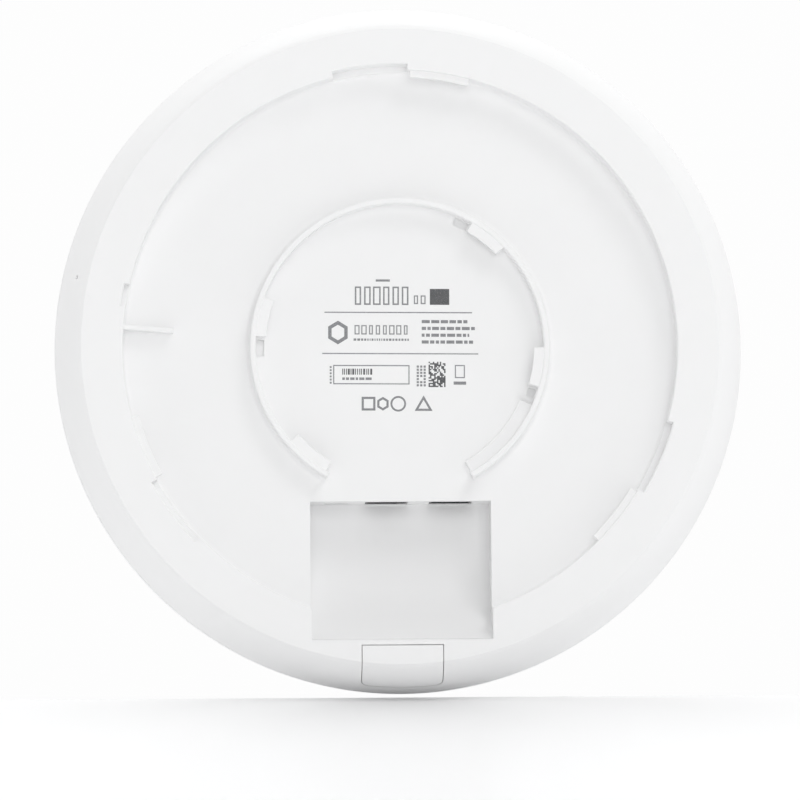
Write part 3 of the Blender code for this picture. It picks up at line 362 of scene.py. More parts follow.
class Shader:
    """A material's node tree, with short calls for the patterns that the finishes share."""

    def __init__(self, name: str) -> None:
        """Starts a material that holds only its shader, its output and the object's coordinates."""
        self.material = bpy.data.materials.new(name)
        self.material.use_nodes = True
        self.tree = self.material.node_tree
        self.surface = self.tree.nodes["Principled BSDF"]
        self.coordinates = self.tree.nodes.new("ShaderNodeTexCoord").outputs["Object"]

    def node(self, kind: str, links: dict | None = None, **settings: object) -> bpy.types.Node:
        """Adds a node.

        Args:
            kind: The node type, without its Shader prefix.
            links: Input name to a socket to link, or to a value to set.
            **settings: The node's own properties.

        Returns:
            The new node.
        """
        made = self.tree.nodes.new("ShaderNode" + kind)
        for name, value in settings.items():
            setattr(made, name, value)
        for name, value in (links or {}).items():
            if isinstance(value, bpy.types.NodeSocket):
                self.tree.links.new(value, made.inputs[name])
            else:
                made.inputs[name].default_value = value
        return made

    def stretched(self, scale: Sequence[float]) -> bpy.types.NodeSocket:
        """Gives the object's coordinates, scaled along each axis."""
        return self.node("Mapping", {"Vector": self.coordinates, "Scale": scale}).outputs["Vector"]

    def noise(
        self, scale: float, detail: float = 2.0, vector: bpy.types.NodeSocket | None = None
    ) -> bpy.types.NodeSocket:
        """Gives a noise pattern between 0 and 1, by features to the metre."""
        links = {"Vector": vector or self.coordinates, "Scale": scale, "Detail": detail, "Roughness": 0.55}
        return self.node("TexNoise", links).outputs["Fac"]

    def cells(self, scale: float, feature: str = "F1") -> bpy.types.NodeSocket:
        """Gives a cell pattern's distance, by cells to the metre."""
        return self.node("TexVoronoi", {"Vector": self.coordinates, "Scale": scale}, feature=feature).outputs[0]

    def spread(self, value: bpy.types.NodeSocket, low: float, high: float) -> bpy.types.NodeSocket:
        """Maps the middle of a 0 to 1 pattern onto a range."""
        links = {"Value": value, "From Min": 0.3, "From Max": 0.7, "To Min": low, "To Max": high}
        return self.node("MapRange", links, clamp=True).outputs["Result"]

    def step(self, value: bpy.types.NodeSocket, edge: float, soft: float) -> bpy.types.NodeSocket:
        """Gives 0 below an edge and 1 above it, with a soft border."""
        links = {"Value": value, "From Min": edge - soft, "From Max": edge + soft}
        return self.node("MapRange", links, clamp=True).outputs["Result"]

    def sum(self, first: bpy.types.NodeSocket, second: bpy.types.NodeSocket, share: float) -> bpy.types.NodeSocket:
        """Adds a share of a second pattern to a first."""
        made = self.node("Math", operation="MULTIPLY_ADD")
        self.tree.links.new(second, made.inputs[0])
        made.inputs[1].default_value = share
        self.tree.links.new(first, made.inputs[2])
        return made.outputs[0]

    def mix(
        self, factor: bpy.types.NodeSocket, first: Sequence[float], second: Sequence[float] | bpy.types.NodeSocket
    ) -> bpy.types.NodeSocket:
        """Blends two colours by a pattern."""
        made = self.tree.nodes.new("ShaderNodeMix")
        made.data_type = "RGBA"
        self.tree.links.new(factor, made.inputs["Factor"])
        for socket, colour in ((made.inputs[6], first), (made.inputs[7], second)):
            if isinstance(colour, bpy.types.NodeSocket):
                self.tree.links.new(colour, socket)
            else:
                socket.default_value = (*colour, 1.0)
        return made.outputs[2]

    def bump(self, height: bpy.types.NodeSocket, distance: float, strength: float) -> None:
        """Adds relief to the surface, over any that is there already."""
        links = {"Height": height, "Distance": distance, "Strength": strength}
        there = self.surface.inputs["Normal"].links
        if there:
            links["Normal"] = there[0].from_socket
        made = self.node("Bump", links)
        self.tree.links.new(made.outputs["Normal"], self.surface.inputs["Normal"])

    def link(self, socket: bpy.types.NodeSocket, name: str) -> None:
        """Links a pattern to one of the surface's inputs."""
        self.tree.links.new(socket, self.surface.inputs[name])


@dataclass(frozen=True)
class Finish:
    """One finish of the object's pieces: its colour, gloss and close-up texture."""

    name: str
    colour: tuple[float, float, float]
    texture: Texture
    roughness: float
    roughness_spread: float = 0.05
    tone_spread: float = 0.02
    metallic: float = 0.0
    grain: float = 2600.0
    relief: float = 0.00002
    relief_strength: float = 0.35
    specular: float = 0.5
    coat: float = 0.0
    subsurface: float = 0.0
    accent: tuple[float, float, float] = (0.5, 0.5, 0.5)

    def shade(self, share: float) -> tuple[float, float, float]:
        """Gives the finish's colour, darker or lighter by a share."""
        return tuple(min(1.0, channel * (1.0 + share)) for channel in self.colour)

    def material(self) -> bpy.types.Material:
        """Makes the finish's material, or gives it again if it is there."""
        there = bpy.data.materials.get(self.name)
        if there:
            return there
        shader = Shader(self.name)
        inputs = shader.surface.inputs
        inputs["Metallic"].default_value = self.metallic
        inputs["Specular IOR Level"].default_value = self.specular
        inputs["Coat Weight"].default_value = self.coat
        inputs["Coat Roughness"].default_value = 0.25
        inputs["Subsurface Weight"].default_value = self.subsurface
        inputs["Subsurface Radius"].default_value = (0.004, 0.0038, 0.0034)
        inputs["Subsurface Scale"].default_value = 0.6
        painters = {
            Texture.MOULDED: self.paint_moulded,
            Texture.SATIN: self.paint_satin,
            Texture.BRUSHED: self.paint_brushed,
            Texture.CAST: self.paint_cast,
            Texture.LAMINATE: self.paint_laminate,
            Texture.RESIN: self.paint_resin,
            Texture.FILM: self.paint_film,
            Texture.WOUND: self.paint_wound,
            Texture.RUBBER: self.paint_rubber,
            Texture.PRINT: self.paint_print,
        }
        painters[self.texture](shader)
        return shader.material

    def tones(self, shader: Shader, pattern: bpy.types.NodeSocket) -> bpy.types.NodeSocket:
        """Blends the finish's darker and lighter tone by a pattern."""
        middle = shader.spread(pattern, 0.0, 1.0)
        return shader.mix(middle, self.shade(-self.tone_spread), self.shade(self.tone_spread))

    def gloss(self, shader: Shader, pattern: bpy.types.NodeSocket) -> None:
        """Varies the roughness by a pattern."""
        low = self.roughness - self.roughness_spread
        shader.link(shader.spread(pattern, low, self.roughness + self.roughness_spread), "Roughness")

    def paint_moulded(self, shader: Shader) -> None:
        """Paints a matte moulding: eroded mould texture, slow tone drift and faint flow marks."""
        drift = shader.noise(9.0, 3.0)
        flow = shader.noise(26.0, 4.0, shader.stretched((1.0, 1.0, 0.25)))
        shader.link(self.tones(shader, shader.sum(drift, flow, 0.35)), "Base Color")
        self.gloss(shader, shader.noise(140.0, 4.0))
        grain = shader.sum(shader.noise(self.grain, 3.0), shader.cells(self.grain * 0.8), 0.5)
        shader.bump(grain, self.relief, self.relief_strength)
        shader.bump(shader.noise(36.0, 1.0), 0.00012, 0.06)

    def paint_satin(self, shader: Shader) -> None:
        """Paints a satin moulding: very fine grain over a faint long waviness."""
        shader.link(self.tones(shader, shader.noise(7.0, 2.0)), "Base Color")
        self.gloss(shader, shader.noise(90.0, 5.0))
        shader.bump(shader.noise(self.grain, 2.0), self.relief, self.relief_strength)
        shader.bump(shader.noise(18.0, 0.0), 0.0002, 0.04)

    def paint_brushed(self, shader: Shader) -> None:
        """Paints sheet metal: long rolling lines, small scratches and darker smudges."""
        lines = shader.noise(60.0, 6.0, shader.stretched((1.0, 30.0, 40.0)))
        smudge = shader.noise(70.0, 4.0)
        shader.link(self.tones(shader, shader.sum(smudge, lines, 0.4)), "Base Color")
        self.gloss(shader, lines)
        shader.bump(lines, self.relief, self.relief_strength)

    def paint_cast(self, shader: Shader) -> None:
        """Paints a die casting: pebbled skin with cold-flow patches."""
        skin = shader.sum(shader.noise(900.0, 4.0), shader.cells(520.0), 0.6)
        shader.link(self.tones(shader, shader.noise(55.0, 5.0)), "Base Color")
        self.gloss(shader, shader.noise(210.0, 3.0))
        shader.bump(skin, self.relief, self.relief_strength)

    def paint_laminate(self, shader: Shader) -> None:
        """Paints a circuit board: copper areas and traces that show through the mask, and bare pads."""
        traces = shader.node(
            "TexBrick",
            {
                "Vector": shader.stretched((1.0, 1.0, 1.0)),
                "Color1": (1.0, 1.0, 1.0, 1.0),
                "Color2": (0.6, 0.6, 0.6, 1.0),
                "Mortar": (0.0, 0.0, 0.0, 1.0),
                "Scale": 420.0,
                "Mortar Size": 0.09,
                "Brick Width": 1.8,
                "Row Height": 0.45,
            },
        ).outputs["Fac"]
        islands = shader.step(shader.noise(75.0, 1.0), 0.52, 0.01)
        copper = shader.sum(islands, traces, -0.6)
        mask = shader.mix(shader.step(copper, 0.4, 0.05), self.shade(-self.tone_spread), self.shade(0.9))
        pads = shader.step(shader.cells(260.0), 0.16, 0.01)
        coloured = shader.mix(pads, self.accent, mask)
        shader.link(coloured, "Base Color")
        self.gloss(shader, shader.noise(160.0, 3.0))
        shader.bump(copper, self.relief, self.relief_strength)

    def paint_resin(self, shader: Shader) -> None:
        """Paints a chip body: fine filler grains and a slightly glossy eroded face."""
        shader.link(self.tones(shader, shader.noise(1300.0, 3.0)), "Base Color")
        self.gloss(shader, shader.noise(420.0, 4.0))
        shader.bump(shader.noise(self.grain, 3.0), self.relief, self.relief_strength)

    def paint_film(self, shader: Shader) -> None:
        """Paints a film ribbon: parallel printed conductors under a clear amber film."""
        stripes = shader.node(
            "TexWave",
            {"Vector": shader.coordinates, "Scale": 310.0, "Distortion": 0.0},
            bands_direction="X",
        ).outputs["Fac"]
        shader.link(shader.mix(shader.step(stripes, 0.5, 0.1), self.shade(-0.2), self.accent), "Base Color")
        self.gloss(shader, shader.noise(200.0, 2.0))
        shader.bump(stripes, self.relief, self.relief_strength)

    def paint_wound(self, shader: Shader) -> None:
        """Paints a wound part: overlapping turns of tape round a dark core."""
        turns = shader.node(
            "TexWave",
            {"Vector": shader.coordinates, "Scale": 95.0, "Distortion": 0.6},
            bands_direction="Z",
            wave_profile="SAW",
        ).outputs["Fac"]
        shader.link(shader.mix(shader.step(turns, 0.8, 0.1), self.colour, self.accent), "Base Color")
        self.gloss(shader, shader.noise(300.0, 3.0))
        shader.bump(shader.sum(turns, shader.noise(1500.0, 2.0), 0.3), self.relief, self.relief_strength)

    def paint_rubber(self, shader: Shader) -> None:
        """Paints filled silicone or a cable jacket: soft mottling and small pores."""
        shader.link(self.tones(shader, shader.noise(650.0, 4.0)), "Base Color")
        self.gloss(shader, shader.noise(240.0, 2.0))
        pores = shader.sum(shader.noise(1700.0, 2.0), shader.cells(1100.0), -0.5)
        shader.bump(pores, self.relief, self.relief_strength)

    def paint_print(self, shader: Shader) -> None:
        """Paints thin ink: slightly uneven cover with pinholes where the texture below shows."""
        holes = shader.step(shader.noise(5200.0, 3.0), 0.34, 0.05)
        shader.link(shader.mix(holes, self.accent, self.tones(shader, shader.noise(900.0, 3.0))), "Base Color")
        self.gloss(shader, shader.noise(1600.0, 2.0))
        shader.bump(shader.noise(2600.0, 3.0), self.relief, self.relief_strength)


WHITE_PLASTIC = Finish(
    "white_plastic_matte", (0.900, 0.901, 0.903), Texture.MOULDED, 0.52, tone_spread=0.010, relief=0.000018
)
DOME_PLASTIC = Finish(
    "dome_plastic_satin",
    (0.868, 0.870, 0.874),
    Texture.SATIN,
    0.36,
    roughness_spread=0.04,
    tone_spread=0.008,
    relief=0.000008,
)
GROOVE_PLASTIC = Finish(
    "groove_plastic_thin",
    (0.70, 0.735, 0.775),
    Texture.SATIN,
    0.28,
    tone_spread=0.02,
    relief=0.000006,
    coat=0.2,
)
BUTTON_PLASTIC = Finish("button_plastic_satin", (0.42, 0.43, 0.45), Texture.SATIN, 0.40, relief=0.00001)
LABEL_INK = Finish(
    "label_ink_grey",
    (0.235, 0.240, 0.250),
    Texture.PRINT,
    0.55,
    tone_spread=0.12,
    relief=0.00001,
    accent=(0.62, 0.62, 0.63),
)
BADGE_INK = Finish(
    "badge_ink_dark",
    (0.085, 0.087, 0.092),
    Texture.PRINT,
    0.50,
    tone_spread=0.10,
    relief=0.00001,
    accent=(0.35, 0.35, 0.36),
)
CONTACT_GOLD = Finish(
    "contact_gold_flash", (0.95, 0.70, 0.28), Texture.BRUSHED, 0.22, metallic=1.0, relief=0.000004
)

SLOT_FINISHES = {
    "white_plastic": WHITE_PLASTIC,
    "dome_plastic": DOME_PLASTIC,
    "button_plastic": BUTTON_PLASTIC,
    "black_plastic": Finish(
        "black_plastic_moulded", (0.022, 0.022, 0.025), Texture.MOULDED, 0.48, tone_spread=0.15
    ),
    "chip_resin": Finish("chip_resin_black", (0.030, 0.030, 0.033), Texture.RESIN, 0.50, tone_spread=0.25),
    "board_laminate": Finish(
        "board_mask_green",
        (0.018, 0.115, 0.052),
        Texture.LAMINATE,
        0.34,
        relief=0.00003,
        coat=0.35,
        accent=(0.83, 0.62, 0.28),
    ),
    "led_board_laminate": Finish(
        "board_mask_white",
        (0.70, 0.71, 0.69),
        Texture.LAMINATE,
        0.38,
        relief=0.00003,
        coat=0.3,
        accent=(0.80, 0.66, 0.36),
    ),
    "tin_plate": Finish(
        "tin_plate_bright", (0.66, 0.67, 0.68), Texture.BRUSHED, 0.27, metallic=1.0, tone_spread=0.10
    ),
    "cast_aluminium": Finish(
        "aluminium_die_cast", (0.56, 0.57, 0.58), Texture.CAST, 0.44, metallic=1.0, tone_spread=0.08
    ),
    "zinc_steel": Finish(
        "zinc_steel_clear", (0.60, 0.62, 0.66), Texture.BRUSHED, 0.30, metallic=1.0, tone_spread=0.12
    ),
    "ferrite": Finish(
        "ferrite_taped", (0.055, 0.055, 0.060), Texture.WOUND, 0.55, relief=0.00006, accent=(0.42, 0.33, 0.10)
    ),
    "capacitor_can": Finish(
        "capacitor_can_satin", (0.52, 0.53, 0.55), Texture.BRUSHED, 0.33, metallic=1.0, tone_spread=0.06
    ),
    "thermal_pad": Finish("thermal_pad_silicone", (0.36, 0.42, 0.54), Texture.RUBBER, 0.85, tone_spread=0.10),
    "coax_jacket": Finish("coax_jacket_black", (0.050, 0.050, 0.055), Texture.RUBBER, 0.42, tone_spread=0.15),
    "ribbon_film": Finish(
        "ribbon_film_amber", (0.48, 0.24, 0.06), Texture.FILM, 0.30, coat=0.5, accent=(0.72, 0.42, 0.18)
    ),
    "light_guide": Finish(
        "light_guide_frosted", (0.88, 0.91, 0.94), Texture.SATIN, 0.30, tone_spread=0.02, subsurface=0.3
    ),
    "led_lens": Finish("led_lens_phosphor", (0.92, 0.86, 0.52), Texture.SATIN, 0.20, coat=0.6),
}


def dress(piece: bpy.types.Object, *finishes: Finish) -> None:
    """Gives a piece its finishes, in the order of its material slots."""
    piece.data.materials.clear()
    for finish in finishes:
        piece.data.materials.append(finish.material())


def settle(piece: bpy.types.Object, body: str, slot: str | None, *nodes: str) -> bpy.types.Object:
    """Hangs a finished piece on what it rides on, hides the frame's nodes that it stands for and logs it."""
    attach(piece, body)
    if nodes:
        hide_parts(*nodes)
    log.info("%s: %d faces on %s, for %s", piece.name, len(piece.data.polygons), body, nodes or "nothing")
    return piece


# ---------------------------------------------------------------------------------------------- casing


@dataclass(frozen=True)
class CaseForm:
    """The outer form that the rear cover, the cable cover and the dome share."""

    radius: float = (CAD_BOX[1].x - CAD_BOX[0].x) / 2
    depth: float = CAD_BOX[1].y - CAD_BOX[0].y
    wall: float = 0.0022
    band_width: float = 0.008
    band_knee: Point2 = (0.80, 0.30)
    ring_width: float = 0.0135
    recess_depth: float = 0.009
    seam_depth: float = 0.0172
    equator_depth: float = 0.019
    dome_power: float = 2.2
    lip_height: float = 0.0048
    seam_step: float = 0.0031
    snap_bite: float = 0.0006
    snap_height: float = 0.0010
    snap_count: int = 6
    snap_degrees: float = 9.0

    @property
    def ring_outer(self) -> float:
        """Outer radius of the flat rim."""
        return self.radius - self.band_width

    @property
    def recess_radius(self) -> float:
        """Radius of the recess wall."""
        return self.ring_outer - self.ring_width

    @property
    def floor_underside(self) -> float:
        """Depth of the recess floor's inner face."""
        return self.recess_depth + self.wall

    @property
    def lip_outer(self) -> float:
        """Outer radius of the lip that the dome snaps over."""
        return self.radius - self.seam_step

    def band(self, steps: int) -> Profile:
        """Gives the side band's outer curve, from the rim's edge to the widest point."""
        start = Vector((self.ring_outer, 0.0))
        knee = Vector(
            (self.ring_outer + self.band_knee[0] * self.band_width, self.band_knee[1] * self.equator_depth)
        )
        end = Vector((self.radius, self.equator_depth))
        points = []
        for step in range(steps + 1):
            t = step / steps
            points.append(tuple(start * (1 - t) ** 2 + knee * 2 * t * (1 - t) + end * t**2))
        return points

    def band_radius(self, depth: float) -> float:
        """Gives the band's outer radius at a depth."""
        points = self.band(60)
        for first, second in zip(points, points[1:]):
            if first[1] <= depth <= second[1]:
                share = (depth - first[1]) / (second[1] - first[1])
                return first[0] + (second[0] - first[0]) * share
        return self.radius

    def dome_depth(self, radius: float) -> float:
        """Gives the depth of the dome's outer face at a radius."""
        share = max(0.0, 1 - (radius / self.radius) ** self.dome_power) ** (1 / self.dome_power)
        return self.equator_depth + (self.depth - self.equator_depth) * share

    def snaps(self, radii: Point2, depths: Point2) -> list[bpy.types.Object]:
        """Makes the ring of short ridges by which the cover and the dome hold each other."""
        made = []
        for index in range(self.snap_count):
            middle = 360.0 * (index + 0.5) / self.snap_count
            angles = (middle - self.snap_degrees / 2, middle + self.snap_degrees / 2)
            made.append(sector("snap", radii, angles, depths, 0.0002))
        return made


@dataclass(frozen=True)
class CableExit:
    """The U-shaped cable exit at the bottom of the rim."""

    half_width: float = 0.0131
    top_margin: float = 0.0065
    depth: float = 0.0110
    corner: float = 0.003
    wall: float = 0.0018

    def outline(self, margin: float, height: float) -> list[Vector]:
        """Gives the U's corners at a height, grown by a margin on its closed sides."""
        half = self.half_width + margin
        radius = self.corner + margin
        foot = self.depth + margin
        right = fillet((half - radius, foot - radius), radius, 0.0, 90.0, 8)
        left = fillet((radius - half, foot - radius), radius, 90.0, 180.0, 8)
        points = [(half, -OVERSHOOT), *right, *left, (-half, -OVERSHOOT)]
        return [Vector((x, depth, height)) for x, depth in points]

    def solid(self, name: str, margin: float, top: float, bottom: float) -> bpy.types.Object:
        """Sweeps the outline between two distances below the axis."""
        return prism(name, self.outline(margin, -top), Vector((0.0, 0.0, top - bottom)))


@dataclass
class RearCover:
    """The rear cover: rim, bayonet recess, hub ring, port bay, cable exit and screw bosses."""

    form: CaseForm
    exit: CableExit
    floor_fillet: float = 0.0010
    rim_rounding: float = 0.0005
    edge_rounding: float = 0.00035
    pockets: tuple[Point2, ...] = ((346.5, 362.0), (106.0, 121.5), (226.5, 241.5))
    pocket_step: float = 0.0020
    back_margin: float = 1.6
    lugs: tuple[Point2, ...] = ((2.5, 15.0), (122.0, 135.0), (242.0, 255.5))
    lug_reach: float = 0.0022
    lug_depths: Point2 = (0.0010, 0.0032)
    rib_angle: float = 274.5
    rib_size: Point2 = (0.0016, 0.0162)
    rib_height: float = 0.0042
    notch: Point2 = (278.4, 283.2)
    notch_step: float = 0.0016
    notch_depth: float = 0.0062
    pin_angle: float = 282.5
    pin_radius: float = 0.0007
    pin_depth: float = 0.0042
    hub_radius: float = 0.046
    hub_wall: float = 0.0019
    hub_height: float = 0.0060
    hub_open: Point2 = (151.0, 209.5)
    hub_base_fillet: float = 0.0013
    hub_lugs: tuple[Point2, ...] = ((30.5, 46.5), (90.5, 106.5), (211.0, 229.5), (274.5, 290.5))
    hub_lug_reach: float = 0.0032
    hub_lug_height: float = 0.0020
    hub_ledge: Point2 = (113.5, 150.5)
    hub_ledge_reach: float = 0.0042
    hub_ledge_height: float = 0.0016
    pits: tuple[Point2, ...] = ((23.5, 29.7), (107.3, 110.9), (266.9, 273.7))
    pit_radii: Point2 = (0.0432, 0.0456)
    pit_depth: float = 0.0012
    bay_half_width: float = 0.0289
    bay_top: float = 0.049
    bay_depth: float = 0.024
    bay_flat: float = 0.004
    ramp_power: float = 3.6
    bay_end_margin: float = 0.008
    bay_wall: float = 0.0022
    edge_break: float = 0.0004
    bay_lip: float = 0.0007
    ejector_radius: float = 0.0028
    ejector_sink: float = 0.00007
    ejector_marks: tuple[Point2, ...] = (
        (0.068, 22.0), (0.068, 68.0), (0.068, 112.0), (0.070, 146.0), (0.070, 214.0), (0.068, 248.0),
        (0.068, 292.0), (0.068, 338.0), (0.035, 0.0), (0.035, 120.0), (0.035, 240.0),
    )
    port_centres: Point2 = (-0.0043, 0.0162)
    port_size: Point2 = (0.0137, 0.0108)
    port_depth: float = 0.0181
    reset_centre: float = -0.0203
    reset_depth: float = 0.0193
    reset_size: Point2 = (0.0076, 0.0042)
    boss_inset: float = 0.0080
    boss_radius: float = 0.0034
    pilot_radius: float = 0.0018
    boss_end: float = 0.0247
    boss_angles: tuple[float, ...] = (0.0, 45.0, 120.0, 135.0, 225.0, 240.0, 315.0)
    mark_radius: float = 0.0009
    mark_place: Point2 = (0.1008, 278.9)

    def profile(self) -> Profile:
        """Gives the turned section, from the recess floor over the rim and back to the floor's inner face."""
        form = self.form
        recess = form.recess_radius
        points = fillet(
            (recess - self.floor_fillet, form.recess_depth - self.floor_fillet), self.floor_fillet, 90.0, 0.0
        )
        rim = self.rim_rounding
        points += fillet((recess + rim, rim), rim, 180.0, 270.0)
        edge = self.edge_rounding
        points += fillet((form.ring_outer - edge, edge), edge, 270.0, 320.0, 3)
        points += [p for p in form.band(36) if edge < p[1] < form.seam_depth - GAP]
        seam = form.band_radius(form.seam_depth)
        points += [(seam, form.seam_depth - GAP), (seam - GAP, form.seam_depth)]
        lip_end = form.seam_depth + form.lip_height
        lip_inner = form.lip_outer - form.wall
        points += [(form.lip_outer, form.seam_depth), (form.lip_outer, lip_end - GAP)]
        points += [(form.lip_outer - GAP, lip_end), (lip_inner, lip_end), (lip_inner, form.seam_depth * 0.72)]
        points += [(form.ring_outer - form.wall * 0.4, form.wall), (recess + form.wall, form.wall)]
        points += [(recess + form.wall, form.floor_underside)]
        return points

    def ramp(self, offset: float, steps: int = 40) -> list[Point2]:
        """Gives the bay floor as (distance below the axis, depth), moved outwards by an offset."""
        start = self.bay_top + self.bay_flat
        length = self.form.ring_outer - self.bay_end_margin - start
        points = []
        for step in range(steps + 1):
            t = step / steps
            depth = self.bay_depth * (1 - t**self.ramp_power)
            slope = -self.bay_depth * self.ramp_power * t ** (self.ramp_power - 1) / length
            normal = Vector((-slope, 1.0)).normalized()
            points.append((start + length * t + normal.x * offset, depth + normal.y * offset))
        return points

    def bay_solid(self, name: str, offset: float, rear: float, half_width: float) -> bpy.types.Object:
        """Makes the bay's hollow, or the hollow with its wall round it."""
        floor = self.ramp(offset)
        side = [(self.bay_top - offset, rear), (self.bay_top - offset, self.bay_depth + offset), *floor]
        side.append((floor[-1][0], rear))
        corners = [Vector((-half_width, depth, -below)) for below, depth in side]
        return prism(name, corners, Vector((2 * half_width, 0.0, 0.0)))

    def add_bay(self, cover: bpy.types.Object) -> None:
        """Adds the port bay with its windows, and breaks its edges."""
        form = self.form
        half = self.bay_half_width
        tray = self.bay_solid("tray", self.bay_wall, form.wall / 3, half + self.bay_wall)
        radius, floor = form.recess_radius + GAP, form.recess_depth + GAP
        room = [(radius, -OVERSHOOT), (radius, floor)]
        combine(tray, Operation.CUT, [spun("room", room, looped=False)])
        combine(cover, Operation.JOIN, [tray])
        combine(cover, Operation.CUT, [self.bay_solid("hollow", 0.0, -OVERSHOOT, half)])
        lip = self.bay_lip
        corner = math.sqrt(form.recess_radius**2 - (half + lip) ** 2)
        end = self.ramp(0.0)[-1][0]
        spans = ((form.recess_depth, -corner, -self.bay_top), (0.0, -end, -corner - lip))
        for depth, low, high in spans:
            rim = flared("lip", Vector((-half, depth, low)), Vector((half, depth, high)), lip)
            combine(cover, Operation.CUT, [rim])
        wall = -(self.bay_top - self.bay_wall / 2)
        deep = self.bay_wall + 2 * OVERSHOOT
        width, height = self.port_size
        windows = [
            block("port", Vector((x, self.port_depth, wall)), (width, height, deep), 0.0004)
            for x in self.port_centres
        ]
        width, height = self.reset_size
        windows.append(
            block("reset", Vector((self.reset_centre, self.reset_depth, wall)), (width, height, deep), 0.0004)
        )
        combine(cover, Operation.CUT, windows)

    def rim_envelope(self) -> bpy.types.Object:
        """Makes the solid that the cable exit's walls may fill, half a wall inside the outer face."""
        form = self.form
        inset = form.wall / 2
        inner = form.recess_radius + form.wall + GAP
        low = self.exit.depth + self.exit.wall + OVERSHOOT
        profile = [(inner, inset), (form.ring_outer - inset, inset)]
        profile += [(p[0] - inset, p[1]) for p in form.band(24) if inset < p[1] < low]
        profile += [(form.band_radius(low) - inset, low), (inner, low)]
        return spun("envelope", profile, 168.0, 192.0, 40)

    def add_exit(self, cover: bpy.types.Object) -> None:
        """Adds the cable exit's box inside the rim and cuts its opening."""
        form = self.form
        top = form.ring_outer - self.exit.top_margin
        box = self.exit.solid("exit_box", self.exit.wall, top - self.exit.wall, form.radius)
        combine(box, Operation.CROSS, [self.rim_envelope()])
        combine(cover, Operation.JOIN, [box])
        combine(cover, Operation.CUT, [self.exit.solid("exit_cut", 0.0, top, form.radius + OVERSHOOT)])

    def add_bayonet(self, cover: bpy.types.Object) -> None:
        """Adds the pockets, the lock notch, the lugs and the stop rib round the recess."""
        form = self.form
        recess = form.recess_radius
        cuts = [(angles, self.pocket_step, form.recess_depth - 0.0012) for angles in self.pockets]
        cuts.append((self.notch, self.notch_step, self.notch_depth))
        backs = [
            sector(
                "back",
                (recess + BURY, recess + step + form.wall),
                (angles[0] - self.back_margin, angles[1] + self.back_margin),
                (form.wall / 2, form.floor_underside),
            )
            for angles, step, _ in cuts
        ]
        combine(cover, Operation.JOIN, backs)
        pockets = []
        for angles, step, low in cuts:
            outer = recess + step
            inner = recess - 2 * self.floor_fillet
            rim = self.edge_break
            profile = [(inner, -OVERSHOOT), (outer + rim + OVERSHOOT, -OVERSHOOT), (outer, rim)]
            profile += [(outer, low), (inner, low)]
            steps = round(angles[1] - angles[0]) * 2
            pockets.append(spun("pocket", profile, angles[0], angles[1], steps))
        combine(cover, Operation.CUT, pockets)
        lugs = [
            sector("lug", (recess - self.lug_reach, recess + BURY), angles, self.lug_depths, 0.0003)
            for angles in self.lugs
        ]
        length = self.rib_size[1] + BURY
        depth = form.recess_depth - (self.rib_height - BURY) / 2
        centre = place(recess + BURY - length / 2, self.rib_angle, depth)
        size = (self.rib_size[0], self.rib_height + BURY, length)
        combine(cover, Operation.JOIN, [*lugs, block("rib", centre, size, 0.0004, self.rib_angle)])

    def hub_profile(self) -> Profile:
        """Gives the hub ring's section, with a rounded top and a broad fillet at its outer foot."""
        form = self.form
        inner = self.hub_radius
        outer = inner + self.hub_wall
        top = form.recess_depth - self.hub_height
        crown = 0.0005
        foot = self.hub_base_fillet
        points = [(inner, form.recess_depth + BURY)]
        points += fillet((inner + crown, top + crown), crown, 180.0, 270.0)
        points += fillet((outer - crown, top + crown), crown, 270.0, 360.0)
        points += fillet((outer + foot, form.recess_depth - foot), foot, 180.0, 90.0, 6)
        points += [(outer + foot, form.recess_depth + BURY)]
        return points

    def add_hub(self, cover: bpy.types.Object) -> None:
        """Adds the hub ring with its lugs and ledge, and the small mould pits beside them."""
        form = self.form
        top = form.recess_depth - self.hub_height
        start, end = self.hub_open[1], 360.0 + self.hub_open[0]
        hub = spun("hub", self.hub_profile(), start, end, round(end - start))
        combine(cover, Operation.JOIN, [hub])
        radii = (self.hub_radius - self.hub_lug_reach, self.hub_radius + BURY)
        depths = (top + GAP, top + GAP + self.hub_lug_height)
        lugs = [sector("hub_lug", radii, angles, depths, 0.0003) for angles in self.hub_lugs]
        ledge = sector(
            "hub_ledge",
            (self.hub_radius - self.hub_ledge_reach, self.hub_radius + BURY),
            self.hub_ledge,
            (form.recess_depth - self.hub_ledge_height, form.recess_depth + BURY),
            0.0004,
        )
        combine(cover, Operation.JOIN, [*lugs, ledge])
        pits = [
            sector("pit", self.pit_radii, angles, (0.0, form.recess_depth + self.pit_depth))
            for angles in self.pits
        ]
        combine(cover, Operation.CUT, pits)

    def add_bosses(self, cover: bpy.types.Object) -> None:
        """Adds the screw bosses behind the recess floor, with their pilot holes."""
        form = self.form
        circle = form.recess_radius - self.boss_inset
        low = form.floor_underside - BURY
        along = Vector((0.0, 1.0, 0.0))
        bosses = [
            rod("boss", place(circle, a, (low + self.boss_end) / 2), along, self.boss_radius, self.boss_end - low, 32)
            for a in self.boss_angles
        ]
        combine(cover, Operation.JOIN, bosses)
        low = form.floor_underside + GAP
        high = self.boss_end + OVERSHOOT
        pilots = [
            rod("pilot", place(circle, a, (low + high) / 2), along, self.pilot_radius, high - low, 24)
            for a in self.boss_angles
        ]
        combine(cover, Operation.CUT, pilots)

